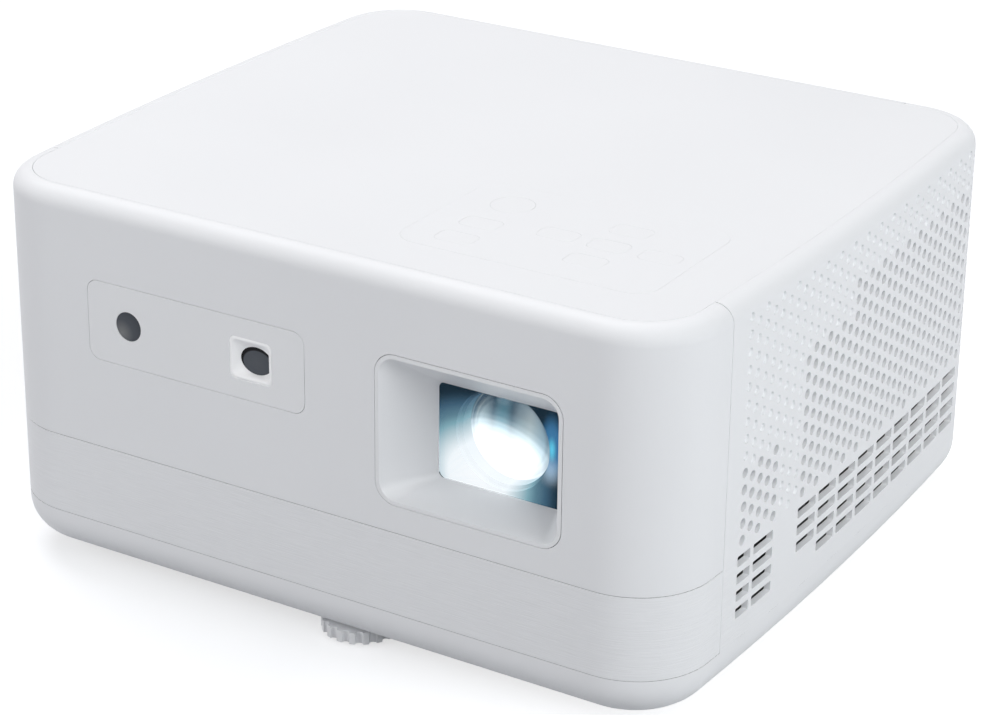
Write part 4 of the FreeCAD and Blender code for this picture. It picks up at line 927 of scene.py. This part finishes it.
# the floor's camera-seen lift is painted light; it grows from left to right and washes out the shadow on the
# right
stage = {
    "floorRadius": 6.0, "floorSides": 96, "floorLevel": -0.0002, "floorColour": (0.42, 0.43, 0.45),
    "floorRough": 0.9, "floorGloss": 0.1, "floorLift": (0.62, 0.82), "liftFrom": (0.0, 0.12),
    "ambient": (0.01, 0.01, 0.012),
}
# direction from the case in degrees, azimuth from the front towards the right, and power in watts
lamps = {
    "leftRear": {"azimuth": -120.0, "elevation": 60.0, "power": 53.0, "colour": (1.0, 0.99, 1.0)},
    "leftFront": {"azimuth": -40.0, "elevation": 25.0, "power": 32.0, "colour": (1.0, 0.99, 0.99)},
    "front": {"azimuth": 0.0, "elevation": 25.0, "power": 5.0, "colour": (1.0, 1.0, 1.0)},
    "rightFront": {"azimuth": 60.0, "elevation": 35.0, "power": 29.8, "colour": (0.99, 1.0, 1.0)},
    "right": {"azimuth": 90.0, "elevation": 20.0, "power": 36.5, "colour": (0.98, 1.0, 1.0)},
}
lampReach = {"distance": 2.8, "size": 2.0, "aim": (0.0, 0.0, 0.05)}


def seenDirectly(tree):  # 1 for what the camera, a reflection or a view through glass shows
    path = addNode(tree, "ShaderNodeLightPath")
    first = addNode(tree, "ShaderNodeMath", {"operation": "MAXIMUM"})
    second = addNode(tree, "ShaderNodeMath", {"operation": "MAXIMUM"})
    tree.links.new(path.outputs["Is Camera Ray"], first.inputs[0])
    tree.links.new(path.outputs["Is Glossy Ray"], first.inputs[1])
    tree.links.new(first.outputs[0], second.inputs[0])
    tree.links.new(path.outputs["Is Transmission Ray"], second.inputs[1])
    return second.outputs[0]


def makeFloor(look):
    bm = bmesh.new()
    bmesh.ops.create_circle(bm, cap_ends=True, segments=look["floorSides"], radius=look["floorRadius"],
                            matrix=Matrix.Translation((0, 0, look["floorLevel"])))
    mesh = toMesh(bm, "floor")
    material, tree, shader = newMaterial("paleFloor")
    shader.inputs["Base Color"].default_value = (*look["floorColour"], 1.0)
    shader.inputs["Roughness"].default_value = look["floorRough"]
    shader.inputs["Specular IOR Level"].default_value = look["floorGloss"]
    shader.inputs["Emission Color"].default_value = (1.0, 1.0, 1.0, 1.0)
    place = addNode(tree, "ShaderNodeTexCoord")
    axes = addNode(tree, "ShaderNodeSeparateXYZ")
    # painted light: the lift grows with x, so the floor's shadow fades on the right
    paintedLightRamp = addNode(tree, "ShaderNodeMapRange", values={
        "From Min": look["liftFrom"][0], "From Max": look["liftFrom"][1],
        "To Min": look["floorLift"][0], "To Max": look["floorLift"][1]})
    lift = addNode(tree, "ShaderNodeMath", {"operation": "MULTIPLY"})
    tree.links.new(place.outputs["Object"], axes.inputs[0])
    tree.links.new(axes.outputs["X"], paintedLightRamp.inputs["Value"])
    tree.links.new(paintedLightRamp.outputs["Result"], lift.inputs[1])
    tree.links.new(seenDirectly(tree), lift.inputs[0])
    tree.links.new(lift.outputs[0], shader.inputs["Emission Strength"])
    mesh.materials.append(material)
    floor = bpy.data.objects.new("floor", mesh)
    bpy.context.scene.collection.objects.link(floor)


def makeWorld(look):
    world = bpy.data.worlds.new("studio")
    world.use_nodes = True
    bpy.context.scene.world = world
    tree = world.node_tree
    background = tree.nodes["Background"]
    mixColours(tree, seenDirectly(tree), look["ambient"], (1.0, 1.0, 1.0), background.inputs["Color"])


def makeLamp(name, look):
    lamp = bpy.data.lights.new(name, "AREA")
    lamp.shape, lamp.size = "DISK", lampReach["size"]
    lamp.energy, lamp.color = look["power"], look["colour"]
    holder = bpy.data.objects.new(name, lamp)
    bpy.context.scene.collection.objects.link(holder)
    az, el = math.radians(look["azimuth"]), math.radians(look["elevation"])
    away = Vector((math.sin(az) * math.cos(el), -math.cos(az) * math.cos(el), math.sin(el)))
    place = away * lampReach["distance"]
    aim = (Vector(lampReach["aim"]) - place).to_track_quat("-Z", "Y").to_matrix().to_4x4()
    holder.matrix_world = Matrix.Translation(place) @ aim


makeFloor(stage)
makeWorld(stage)
for name, look in lamps.items():
    makeLamp(name, look)
bpy.context.scene.view_settings.view_transform = "Standard"
print("floor and lights set")
